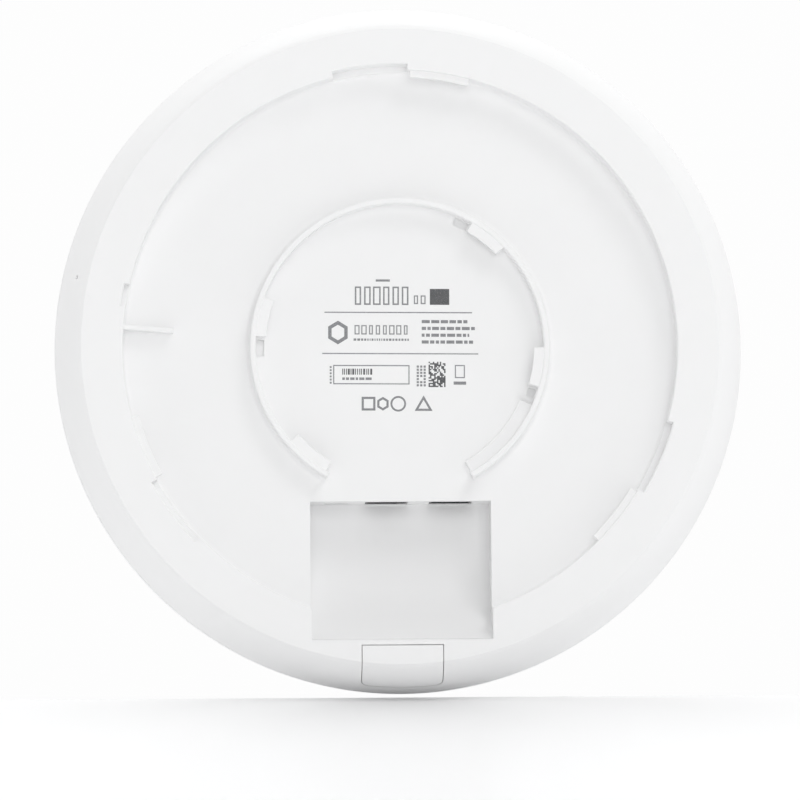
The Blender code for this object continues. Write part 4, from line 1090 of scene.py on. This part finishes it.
    def add_pin_hole(self, cover: bpy.types.Object) -> None:
        """Drills the pin hole for the lock tab and sets the small mark beside it on the band."""
        form = self.form
        middle = (form.recess_radius + form.radius) / 2
        along = place(1.0, self.pin_angle, 0.0)
        length = form.radius - form.recess_radius + 2 * OVERSHOOT
        hole = rod("pin", place(middle, self.pin_angle, self.pin_depth), along, self.pin_radius, length, 20)
        combine(cover, Operation.CUT, [hole])
        radius, angle = self.mark_place
        mark = rod("mark", place(radius, angle, 0.0), Vector((0.0, 1.0, 0.0)), self.mark_radius, 0.0003, 24)
        combine(cover, Operation.CUT, [mark])
        along = Vector((0.0, 1.0, 0.0))
        floor = form.recess_depth + self.ejector_sink - OVERSHOOT / 2
        marks = [rod("eject", place(r, a, floor), along, self.ejector_radius, OVERSHOOT, 40) for r, a in self.ejector_marks]
        combine(cover, Operation.CUT, marks)

    def build(self) -> bpy.types.Object:
        """Builds the whole rear cover.

        Returns:
            The finished piece, which stands for the frame's rear_cover.
        """
        form = self.form
        cover = spun("rear_cover_moulding", self.profile(), looped=False)
        self.add_bay(cover)
        self.add_exit(cover)
        self.add_bayonet(cover)
        self.add_hub(cover)
        self.add_bosses(cover)
        self.add_pin_hole(cover)
        low = form.seam_depth + form.lip_height - form.snap_height
        radii = (form.lip_outer - BURY, form.lip_outer + form.snap_bite)
        combine(cover, Operation.JOIN, form.snaps(radii, (low, low + form.snap_height - GAP / 2)))
        smooth(cover)
        dress(cover, WHITE_PLASTIC)
        return settle(cover, "casing", "white_plastic", "rear_cover")


@dataclass
class CableCover:
    """The snap-in cover of the cable exit, cut from the rim's own skin."""

    form: CaseForm
    exit: CableExit
    rounding: float = 0.00025

    def build(self) -> bpy.types.Object:
        """Builds the cover, which stands for the frame's cable_cover."""
        form = self.form
        top = form.ring_outer - self.exit.top_margin
        foot = self.exit.depth
        edge = 0.00035
        skin = [(top - BURY, 0.0)]
        skin += fillet((form.ring_outer - edge, edge), edge, 270.0, 320.0, 3)
        skin += [p for p in form.band(36) if edge < p[1] < foot]
        skin += [(form.band_radius(foot), foot), (form.band_radius(foot) - form.wall, foot)]
        skin += [(form.ring_outer - form.wall * 0.4, form.wall), (top - BURY, form.wall)]
        cover = spun("cable_cover_moulding", skin, 168.0, 192.0, 48)
        gap = 0.7 * GAP
        outline = self.exit.solid("outline", -gap, top + gap, form.radius + OVERSHOOT)
        combine(cover, Operation.CROSS, [outline])
        smooth(cover)
        dress(cover, WHITE_PLASTIC)
        return settle(cover, "exit_cover", "white_plastic", "cable_cover")


@dataclass
class FrontDome:
    """The front dome with its seam, its snap ledges and the groove over the light ring."""

    form: CaseForm
    groove: Point2 = (0.0375, 0.0405)
    groove_depth: float = 0.0006
    outer_steps: int = 56
    inner_steps: int = 24

    def radii(self, steps: int) -> list[float]:
        """Gives radii from the rim to the axis, closer together where the dome bends more."""
        form = self.form
        turns = [math.radians(90.0 * step / steps) for step in range(steps)]
        return [form.radius * math.cos(turn) ** (2 / form.dome_power) for turn in turns] + [0.0]

    def outer(self) -> Profile:
        """Gives the outer face from the widest point to the axis, with the groove let in."""
        form = self.form
        low, high = self.groove
        sink = self.groove_depth
        points = [(r, form.dome_depth(r)) for r in self.radii(self.outer_steps)]
        before = [p for p in points if p[0] > high + sink]
        after = [p for p in points if p[0] < low - sink]
        soft = sink / 4
        dip = [
            (high + soft, form.dome_depth(high + soft)),
            (high, form.dome_depth(high) - soft),
            (high - soft, form.dome_depth(high) - sink),
            (low + soft, form.dome_depth(low) - sink),
            (low, form.dome_depth(low) - soft),
            (low - soft, form.dome_depth(low - soft)),
        ]
        return before + dip + after

    def profile(self) -> Profile:
        """Gives the dome's whole section, from the axis inside, round the seam and back outside."""
        form = self.form
        inner_radius = form.lip_outer + form.snap_bite + GAP
        inner = []
        for radius in self.radii(self.inner_steps):
            if radius < inner_radius - 2 * form.wall:
                inner.append((radius * (1 - form.wall / form.radius), form.dome_depth(radius) - form.wall))
        seam = form.seam_depth + GAP
        shoulder = [(inner_radius, form.seam_depth + form.lip_height + GAP), (inner_radius, seam)]
        outside = form.band_radius(seam)
        shoulder += [(outside - GAP, seam), (outside, seam + GAP)]
        return list(reversed(inner)) + shoulder + self.outer()

    def build(self) -> bpy.types.Object:
        """Builds the dome, which stands for the frame's front_dome."""
        form = self.form
        dome = spun("front_dome_moulding", self.profile(), looped=False)
        high = form.seam_depth + form.lip_height - form.snap_height - GAP
        radii = (form.lip_outer + GAP, form.lip_outer + form.snap_bite + GAP + BURY)
        combine(dome, Operation.JOIN, form.snaps(radii, (high - form.snap_height, high)))
        smooth(dome)
        dress(dome, DOME_PLASTIC, GROOVE_PLASTIC)
        floor = form.dome_depth(self.groove[1]) - 1.2 * self.groove_depth
        for face in dome.data.polygons:
            reach = math.hypot(face.center.x, face.center.z)
            if self.groove[0] < reach < self.groove[1] and face.center.y > floor:
                face.material_index = 1
        return settle(dome, "casing", "dome_plastic", "front_dome")


# --------------------------------------------------------------------------------- ports and the label


@dataclass
class EthernetJack:
    """One network jack: its folded sheet shell, its moulded insert and its eight contact springs."""

    side: str
    neck: Point2 = (0.0137, 0.0108)
    sheet: float = 0.0006
    insert_wall: float = 0.0012
    contact_count: int = 8
    contact_pitch: float = 0.00102
    contact_width: float = 0.00045
    contact_sheet: float = 0.0003

    def span(self, part: str) -> tuple[Vector, Vector]:
        """Gives the corners of one of the jack's nodes in the frame."""
        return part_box(f"ethernet_jack_{self.side}_{part}")

    def shell(self) -> bpy.types.Object:
        """Builds the shell: a sheet box, open at the front, with a window cut through each side."""
        low, high = self.span("shell")
        size = high - low
        shell = block(f"jack_{self.side}_shell", (low + high) / 2, size, 0.0004)
        inside = size - Vector((2 * self.sheet, 2 * self.sheet, 0.0))
        middle = (low + high) / 2 - Vector((0.0, 0.0, self.sheet))
        combine(shell, Operation.CUT, [block("hollow", middle, inside)])
        tongues = [
            block(
                "tongue",
                Vector((x, middle.y, low.z + 0.005)),
                (4 * self.sheet, 0.0034, 0.0050),
                0.0003,
            )
            for x in (low.x, high.x)
        ]
        combine(shell, Operation.CUT, tongues)
        smooth(shell)
        dress(shell, SLOT_FINISHES["tin_plate"])
        return settle(shell, "casing", "tin_plate", f"ethernet_jack_{self.side}_shell")

    def insert(self) -> bpy.types.Object:
        """Builds the insert, with its neck, the plug's cavity and the latch slot."""
        neck_low, high = self.span("insert")
        low = Vector((neck_low.x, neck_low.y, self.span("shell")[0].z + GAP))
        size = high - low
        insert = block(f"jack_{self.side}_insert", (low + high) / 2, size, 0.0003)
        wall = self.insert_wall
        front = (low + high) / 2
        front.z = (neck_low.z + low.z + BURY) / 2
        reach = low.z + BURY - neck_low.z
        neck_size = (self.neck[0] - 2 * GAP, self.neck[1] - 2 * GAP, reach)
        combine(insert, Operation.JOIN, [block("neck", front, neck_size, 0.0002)])
        top = high.z - 3.4 * wall
        bottom = neck_low.z - OVERSHOOT
        middle = Vector(((low.x + high.x) / 2, (low.y + high.y - wall) / 2, (top + bottom) / 2))
        cavity = block("cavity", middle, (size.x - 2 * wall, size.y - 3 * wall, top - bottom), 0.0003)
        combine(insert, Operation.CUT, [cavity])
        slot_centre = Vector((middle.x, high.y - 2 * wall, middle.z))
        slot = block("slot", slot_centre, (size.x / 2, 2 * wall, top - bottom), 0.0003)
        combine(insert, Operation.CUT, [slot])
        smooth(insert)
        dress(insert, SLOT_FINISHES["black_plastic"])
        return settle(insert, "casing", "black_plastic", f"ethernet_jack_{self.side}_insert")

    def contacts(self) -> bpy.types.Object:
        """Builds the eight bent contact springs as one piece's worth of thin strips."""
        low, high = self.span("insert")
        centre = (low.x + high.x) / 2
        rear = low.y + 1.1 * self.insert_wall
        deep = high.z - 0.0062
        path = [
            (rear, deep),
            (rear, low.z + 0.0088),
            (rear + 0.0010, low.z + 0.0066),
            (rear + 0.0032, deep - 0.0012),
        ]
        mesh = bmesh.new()
        for index in range(self.contact_count):
            x = centre + (index - (self.contact_count - 1) / 2) * self.contact_pitch
            verts = [mesh.verts.new((x - self.contact_width / 2, y, z)) for y, z in path]
            edges = [mesh.edges.new(pair) for pair in zip(verts, verts[1:])]
            grown = bmesh.ops.extrude_edge_only(mesh, edges=edges)["geom"]
            moved = [item for item in grown if isinstance(item, bmesh.types.BMVert)]
            bmesh.ops.translate(mesh, verts=moved, vec=(self.contact_width, 0.0, 0.0))
        bmesh.ops.recalc_face_normals(mesh, faces=mesh.faces)
        bmesh.ops.solidify(mesh, geom=mesh.faces[:], thickness=self.contact_sheet)
        bmesh.ops.recalc_face_normals(mesh, faces=mesh.faces)
        contacts = object_from(mesh, f"jack_{self.side}_contacts")
        smooth(contacts)
        dress(contacts, CONTACT_GOLD)
        return settle(contacts, "casing", None)

    def build(self) -> None:
        """Builds all of the jack."""
        self.shell()
        self.insert()
        self.contacts()


@dataclass
class ResetButton:
    """The recessed reset button, with its flange behind the bay wall and its nose at the switch."""

    dish_radius: float = 0.0013

    def build(self) -> bpy.types.Object:
        """Builds the button, which stands for the frame's reset_button."""
        low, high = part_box("reset_button")
        middle = (low + high) / 2
        flange_low = low.z + 0.0017
        stem_size = (high.x - low.x - 0.0018, high.y - low.y - 0.0012, 0.0022)
        button = block("reset_button_plunger", Vector((middle.x, middle.y, low.z + 0.0011)), stem_size, 0.0003)
        flange = block(
            "flange", Vector((middle.x, middle.y, flange_low + 0.0006)), (high.x - low.x, high.y - low.y, 0.0012), 0.0002
        )
        combine(button, Operation.JOIN, [flange])
        nose_low = flange_low + 0.0009
        nose_size = ((high.x - low.x) / 3.8, (high.y - low.y) / 2.7, high.z - nose_low)
        nose = block("nose", Vector((middle.x, middle.y, (nose_low + high.z) / 2)), nose_size, 0.0002)
        combine(button, Operation.JOIN, [nose])
        down = Vector((0.0, 0.0, 1.0))
        dish = rod("dish", Vector((middle.x, middle.y, low.z)), down, self.dish_radius, 0.0005, 28)
        combine(button, Operation.CUT, [dish])
        smooth(button)
        dress(button, BUTTON_PLASTIC)
        return settle(button, "reset_plunger", "button_plastic", "reset_button")


class Label:
    """The printed label on the recess floor: rules, plain shapes and word-like dashes, with nothing to read."""

    film = 0.00002
    line = 0.00034
    turn = 0.5
    shift = (0.0, 0.0, -0.0008)

    def __init__(self, depth: float) -> None:
        """Starts an empty label on a floor at a depth."""
        self.depth = depth
        self.chance = random.Random(11)
        self.inks = {LABEL_INK: bmesh.new(), BADGE_INK: bmesh.new()}

    def bar(self, left: float, right: float, low: float, high: float, ink: Finish = LABEL_INK) -> None:
        """Prints a filled rectangle."""
        mesh = self.inks[ink]
        made = bmesh.ops.create_cube(mesh, size=1.0)["verts"]
        bmesh.ops.scale(mesh, vec=(right - left, 1.5 * self.film, high - low), verts=made)
        centre = ((left + right) / 2, self.depth - self.film / 4, (low + high) / 2)
        bmesh.ops.translate(mesh, vec=centre, verts=made)

    def ring(self, centre: Point2, size: Point2, sides: int, line: float | None = None) -> None:
        """Prints the outline of a circle, ellipse or polygon.

        Args:
            centre: The shape's centre as (x, z).
            size: Its half width and half height.
            sides: Number of sides; 4 makes a rectangle and 3 a triangle.
            line: Width of the line, or None for a filled shape.
        """
        mesh = bmesh.new()
        turn, reach = (45.0, math.sqrt(2.0)) if sides == 4 else (0.0, 1.0)
        bmesh.ops.create_circle(mesh, cap_ends=True, radius=reach, segments=sides)
        bmesh.ops.rotate(mesh, verts=mesh.verts, matrix=Matrix.Rotation(math.radians(turn), 3, "Z"))
        bmesh.ops.scale(mesh, vec=(size[0], size[1], 1.0), verts=mesh.verts)
        if line:
            bmesh.ops.inset_region(mesh, faces=mesh.faces[:], thickness=line, use_boundary=True, use_even_offset=True)
            middle = min(mesh.faces, key=lambda face: face.calc_center_median().length)
            bmesh.ops.delete(mesh, geom=[middle], context="FACES_ONLY")
        upright = Matrix.Translation((centre[0], self.depth + self.film / 2, centre[1]))
        bmesh.ops.transform(mesh, verts=mesh.verts, matrix=upright @ Matrix.Rotation(math.pi / 2, 4, "X"))
        grown = bmesh.ops.extrude_face_region(mesh, geom=mesh.faces[:])["geom"]
        moved = [item for item in grown if isinstance(item, bmesh.types.BMVert)]
        bmesh.ops.translate(mesh, verts=moved, vec=(0.0, -1.5 * self.film, 0.0))
        bmesh.ops.recalc_face_normals(mesh, faces=mesh.faces)
        shape = bpy.data.meshes.new("shape")
        mesh.to_mesh(shape)
        mesh.free()
        self.inks[LABEL_INK].from_mesh(shape)
        bpy.data.meshes.remove(shape)

    def dashes(self, left: float, right: float, low: float, high: float, longest: float) -> None:
        """Prints a line of word-like dashes of uneven lengths."""
        x = left
        space = (high - low) * 0.45
        while x < right - space:
            length = longest * self.chance.uniform(0.35, 1.0)
            self.bar(x, min(x + length, right), low, high)
            x += length + space

    def blocks(self, left: float, right: float, low: float, high: float, count: int) -> None:
        """Prints a row of plain outlined blocks of uneven widths, with the weight of a word."""
        pitch = (right - left) / count
        for index in range(count):
            half = pitch * self.chance.uniform(0.26, 0.42)
            middle = (left + (index + 0.5) * pitch, (low + high) / 2)
            self.ring(middle, (half, (high - low) / 2), 4, pitch * 0.16)

    def modules(self, left: float, low: float, columns: int, rows: int, size: float) -> None:
        """Prints a field of random square modules."""
        for row in range(rows):
            for column in range(columns):
                if self.chance.random() < 0.56:
                    x = left + column * size
                    z = low + row * size
                    self.bar(x, x + size * 1.02, z, z + size * 1.02, BADGE_INK)

    def head(self) -> None:
        """Prints the head: a wide row of blocks, a short row and a dark plate."""
        self.blocks(-0.0147, 0.0034, 0.0147, 0.0206, 6)
        self.bar(-0.0075, -0.0030, 0.0222, 0.0229)
        self.blocks(0.0042, 0.0088, 0.0150, 0.0178, 2)
        self.bar(0.0098, 0.0160, 0.0148, 0.0199, BADGE_INK)

    def middle(self) -> None:
        """Prints the middle band between two rules: a hexagon, a row of shapes and four small lines."""
        self.bar(-0.0239, 0.0233, 0.01212, 0.01212 + self.line)
        self.bar(-0.0246, 0.0253, -0.00110, -0.00110 + self.line)
        self.ring((-0.0196, 0.0058), (0.0036, 0.0038), 6, 0.0011)
        self.blocks(-0.0146, 0.0032, 0.0052, 0.0082, 8)
        self.dashes(-0.0146, 0.0032, 0.0032, 0.0039, 0.0009)
        for row in range(4):
            low = 0.0089 - 0.00218 * row
            self.dashes(0.0072, 0.0224 + 0.0018 * (row % 2), low, low + 0.0010, 0.0026)

    def foot(self) -> None:
        """Prints the foot: a framed row of bars, a field of modules, and a row of plain outlines."""
        self.ring((-0.0089, -0.0077), (0.0122, 0.0031), 4, self.line)
        x = -0.0182
        while x < -0.0085:
            width = self.chance.choice((0.0003, 0.0003, 0.0006))
            self.bar(x, x + width, -0.0077, -0.0058, BADGE_INK)
            x += width + self.chance.choice((0.00025, 0.0004))
        self.dashes(-0.0182, -0.0084, -0.0094, -0.0086, 0.0022)
        for row in range(6):
            low = -0.0106 + row * 0.0010
            self.bar(-0.0222, -0.0216, low, low + 0.0006)
        for column in range(3):
            left = 0.0056 + column * 0.0011
            for row in range(7):
                if self.chance.random() < 0.8:
                    low = -0.0114 + row * 0.0010
                    self.bar(left, left + 0.0007, low, low + 0.0007)
        self.modules(0.0094, -0.0116, 12, 18, 0.00045)
        self.ring((0.0194, -0.0066), (0.0016, 0.0021), 4, self.line)
        self.bar(0.0174, 0.0214, -0.0108, -0.0098)
        self.ring((-0.0098, -0.0170), (0.0022, 0.0022), 4, 0.0007)
        self.ring((-0.0052, -0.0170), (0.0021, 0.0022), 6, 0.0007)
        self.ring((-0.0003, -0.0170), (0.0025, 0.0025), 36, 0.0006)
        self.ring((0.0078, -0.0176), (0.0033, 0.0033), 3, 0.0007)

    def build(self) -> None:
        """Prints everything and makes one piece for each ink."""
        self.head()
        self.middle()
        self.foot()
        askew = Matrix.Rotation(math.radians(self.turn), 3, "Y")
        for (ink, mesh), name in zip(self.inks.items(), ("label_print_grey", "label_print_dark")):
            bmesh.ops.rotate(mesh, verts=mesh.verts, cent=(0.0, 0.0, 0.0), matrix=askew)
            bmesh.ops.translate(mesh, verts=mesh.verts, vec=self.shift)
            printed = object_from(mesh, name)
            dress(printed, ink)
            settle(printed, "casing", None)


# -------------------------------------------------------------------------------------- inside and room


class Inside:
    """The pieces inside the casing, which keep their solids from the frame and get their finishes."""

    def dress_all(self) -> None:
        """Gives every node of the frame the finish of its material slot."""
        slots = {part["node"]: part["material_slot"] for part in frame["record"]["subparts"]}
        for name, node in frame["nodes"].items():
            dress(node, SLOT_FINISHES[slots[name]])
            log.info("%s: dressed as %s", name, slots[name])


@dataclass
class Studio:
    """The floor, the light and the camera."""

    target: Vector = field(default_factory=lambda: Vector((0.0, 0.019, 0.0)))
    azimuth: float = -2.2
    elevation: float = -5.3
    distance: float = 4.0
    frame_width: float = 0.2563
    roll: float = 0.5
    shift: Point2 = (0.0025, -0.0610)
    floor_slope: float = 9.0
    floor_reach: float = 7.0
    ambient_rear: float = 0.38
    ambient_front: float = 0.985
    key_power: float = 30.0
    front_power: float = 32.0
    top_power: float = 32.0

    def camera(self) -> bpy.types.Object:
        """Sets up the camera, slightly left of the axis and below it."""
        data = bpy.data.cameras.new("camera")
        camera = bpy.data.objects.new("camera", data)
        bpy.context.scene.collection.objects.link(camera)
        turn, lift = math.radians(self.azimuth), math.radians(self.elevation)
        away = Vector((math.sin(turn) * math.cos(lift), -math.cos(turn) * math.cos(lift), math.sin(lift)))
        camera.location = self.target + away * self.distance
        aim = (-away).to_track_quat("-Z", "Y").to_matrix() @ Matrix.Rotation(math.radians(-self.roll), 3, "Z")
        camera.rotation_euler = aim.to_euler()
        data.sensor_width = 36.0
        data.lens = data.sensor_width * self.distance / self.frame_width
        data.shift_x, data.shift_y = self.shift
        data.clip_start, data.clip_end = 0.1, 60.0
        bpy.context.scene.camera = camera
        return camera

    def floor(self) -> bpy.types.Object:
        """Lays a pale floor that is level behind the object and falls away softly in front of it."""
        crest = -(CAD_BOX[1].z - CAD_BOX[0].z) / 2 - 0.0002
        reach = self.floor_reach
        drop = reach * math.tan(math.radians(self.floor_slope))
        mesh = bmesh.new()
        line = [(reach, crest), (self.target.y + 0.006, crest), (-reach, crest - drop)]
        verts = [mesh.verts.new((-reach, y, z)) for y, z in line]
        edges = [mesh.edges.new(pair) for pair in zip(verts, verts[1:])]
        grown = bmesh.ops.extrude_edge_only(mesh, edges=edges)["geom"]
        moved = [item for item in grown if isinstance(item, bmesh.types.BMVert)]
        bmesh.ops.translate(mesh, verts=moved, vec=(2 * reach, 0.0, 0.0))
        ridge = [edge for edge in mesh.edges if not edge.is_boundary]
        bmesh.ops.bevel(
            mesh, geom=ridge, offset=0.012, affect="EDGES", segments=8, profile=0.5, material=-1
        )
        for face in mesh.faces:
            if face.normal.z < 0:
                face.normal_flip()
        floor = object_from(mesh, "floor")
        floor.data.shade_smooth()
        finish = Finish(
            "floor_white_gloss",
            (0.94, 0.942, 0.946),
            Texture.SATIN,
            0.30,
            roughness_spread=0.0,
            tone_spread=0.0,
            relief_strength=0.0,
            specular=0.14,
        )
        dress(floor, finish)
        return floor

    def lamp(self, name: str, location: Vector, power: float, size: float) -> None:
        """Adds a square area lamp that points at the object."""
        data = bpy.data.lights.new(name, "AREA")
        data.energy = power
        data.size = size
        lamp = bpy.data.objects.new(name, data)
        lamp.location = location
        lamp.rotation_euler = (self.target - location).to_track_quat("-Z", "Y").to_euler()
        bpy.context.scene.collection.objects.link(lamp)

    def light(self) -> None:
        """Lights the object from a pale room, a soft key at the upper right and a soft lamp near the camera."""
        world = bpy.data.worlds.new("studio")
        bpy.context.scene.world = world
        world.use_nodes = True
        nodes, links = world.node_tree.nodes, world.node_tree.links
        direction = nodes.new("ShaderNodeTexCoord").outputs["Generated"]
        split = nodes.new("ShaderNodeSeparateXYZ")
        blend = nodes.new("ShaderNodeMapRange")
        blend.interpolation_type = "SMOOTHSTEP"
        blend.inputs["From Min"].default_value = -0.85
        blend.inputs["From Max"].default_value = 0.05
        blend.inputs["To Min"].default_value = self.ambient_rear
        blend.inputs["To Max"].default_value = self.ambient_front
        links.new(direction, split.inputs["Vector"])
        links.new(split.outputs["Y"], blend.inputs["Value"])
        links.new(blend.outputs["Result"], nodes["Background"].inputs["Strength"])
        nodes["Background"].inputs["Color"].default_value = (1.0, 1.0, 1.0, 1.0)
        self.lamp("key", Vector((1.6, -2.4, 3.0)), self.key_power, 1.6)
        self.lamp("front", Vector((0.2, -3.9, 0.4)), self.front_power, 1.8)
        self.lamp("top", Vector((-0.5, 1.3, 3.8)), self.top_power, 3.0)
        bpy.context.scene.view_settings.view_transform = "Standard"

    def build(self) -> None:
        """Sets up everything round the object."""
        self.camera()
        self.floor()
        self.light()
        log.info("studio: camera, floor and three lamps")


def main() -> None:
    """Builds the object's looks in order."""
    logging.basicConfig(level=logging.INFO, format="%(name)s: %(message)s")
    Studio().build()
    Inside().dress_all()
    form = CaseForm()
    cable_exit = CableExit()
    RearCover(form, cable_exit).build()
    CableCover(form, cable_exit).build()
    FrontDome(form).build()
    for side in ("left", "right"):
        EthernetJack(side).build()
    ResetButton().build()
    Label(form.recess_depth).build()


if __name__ == "__main__":
    main()
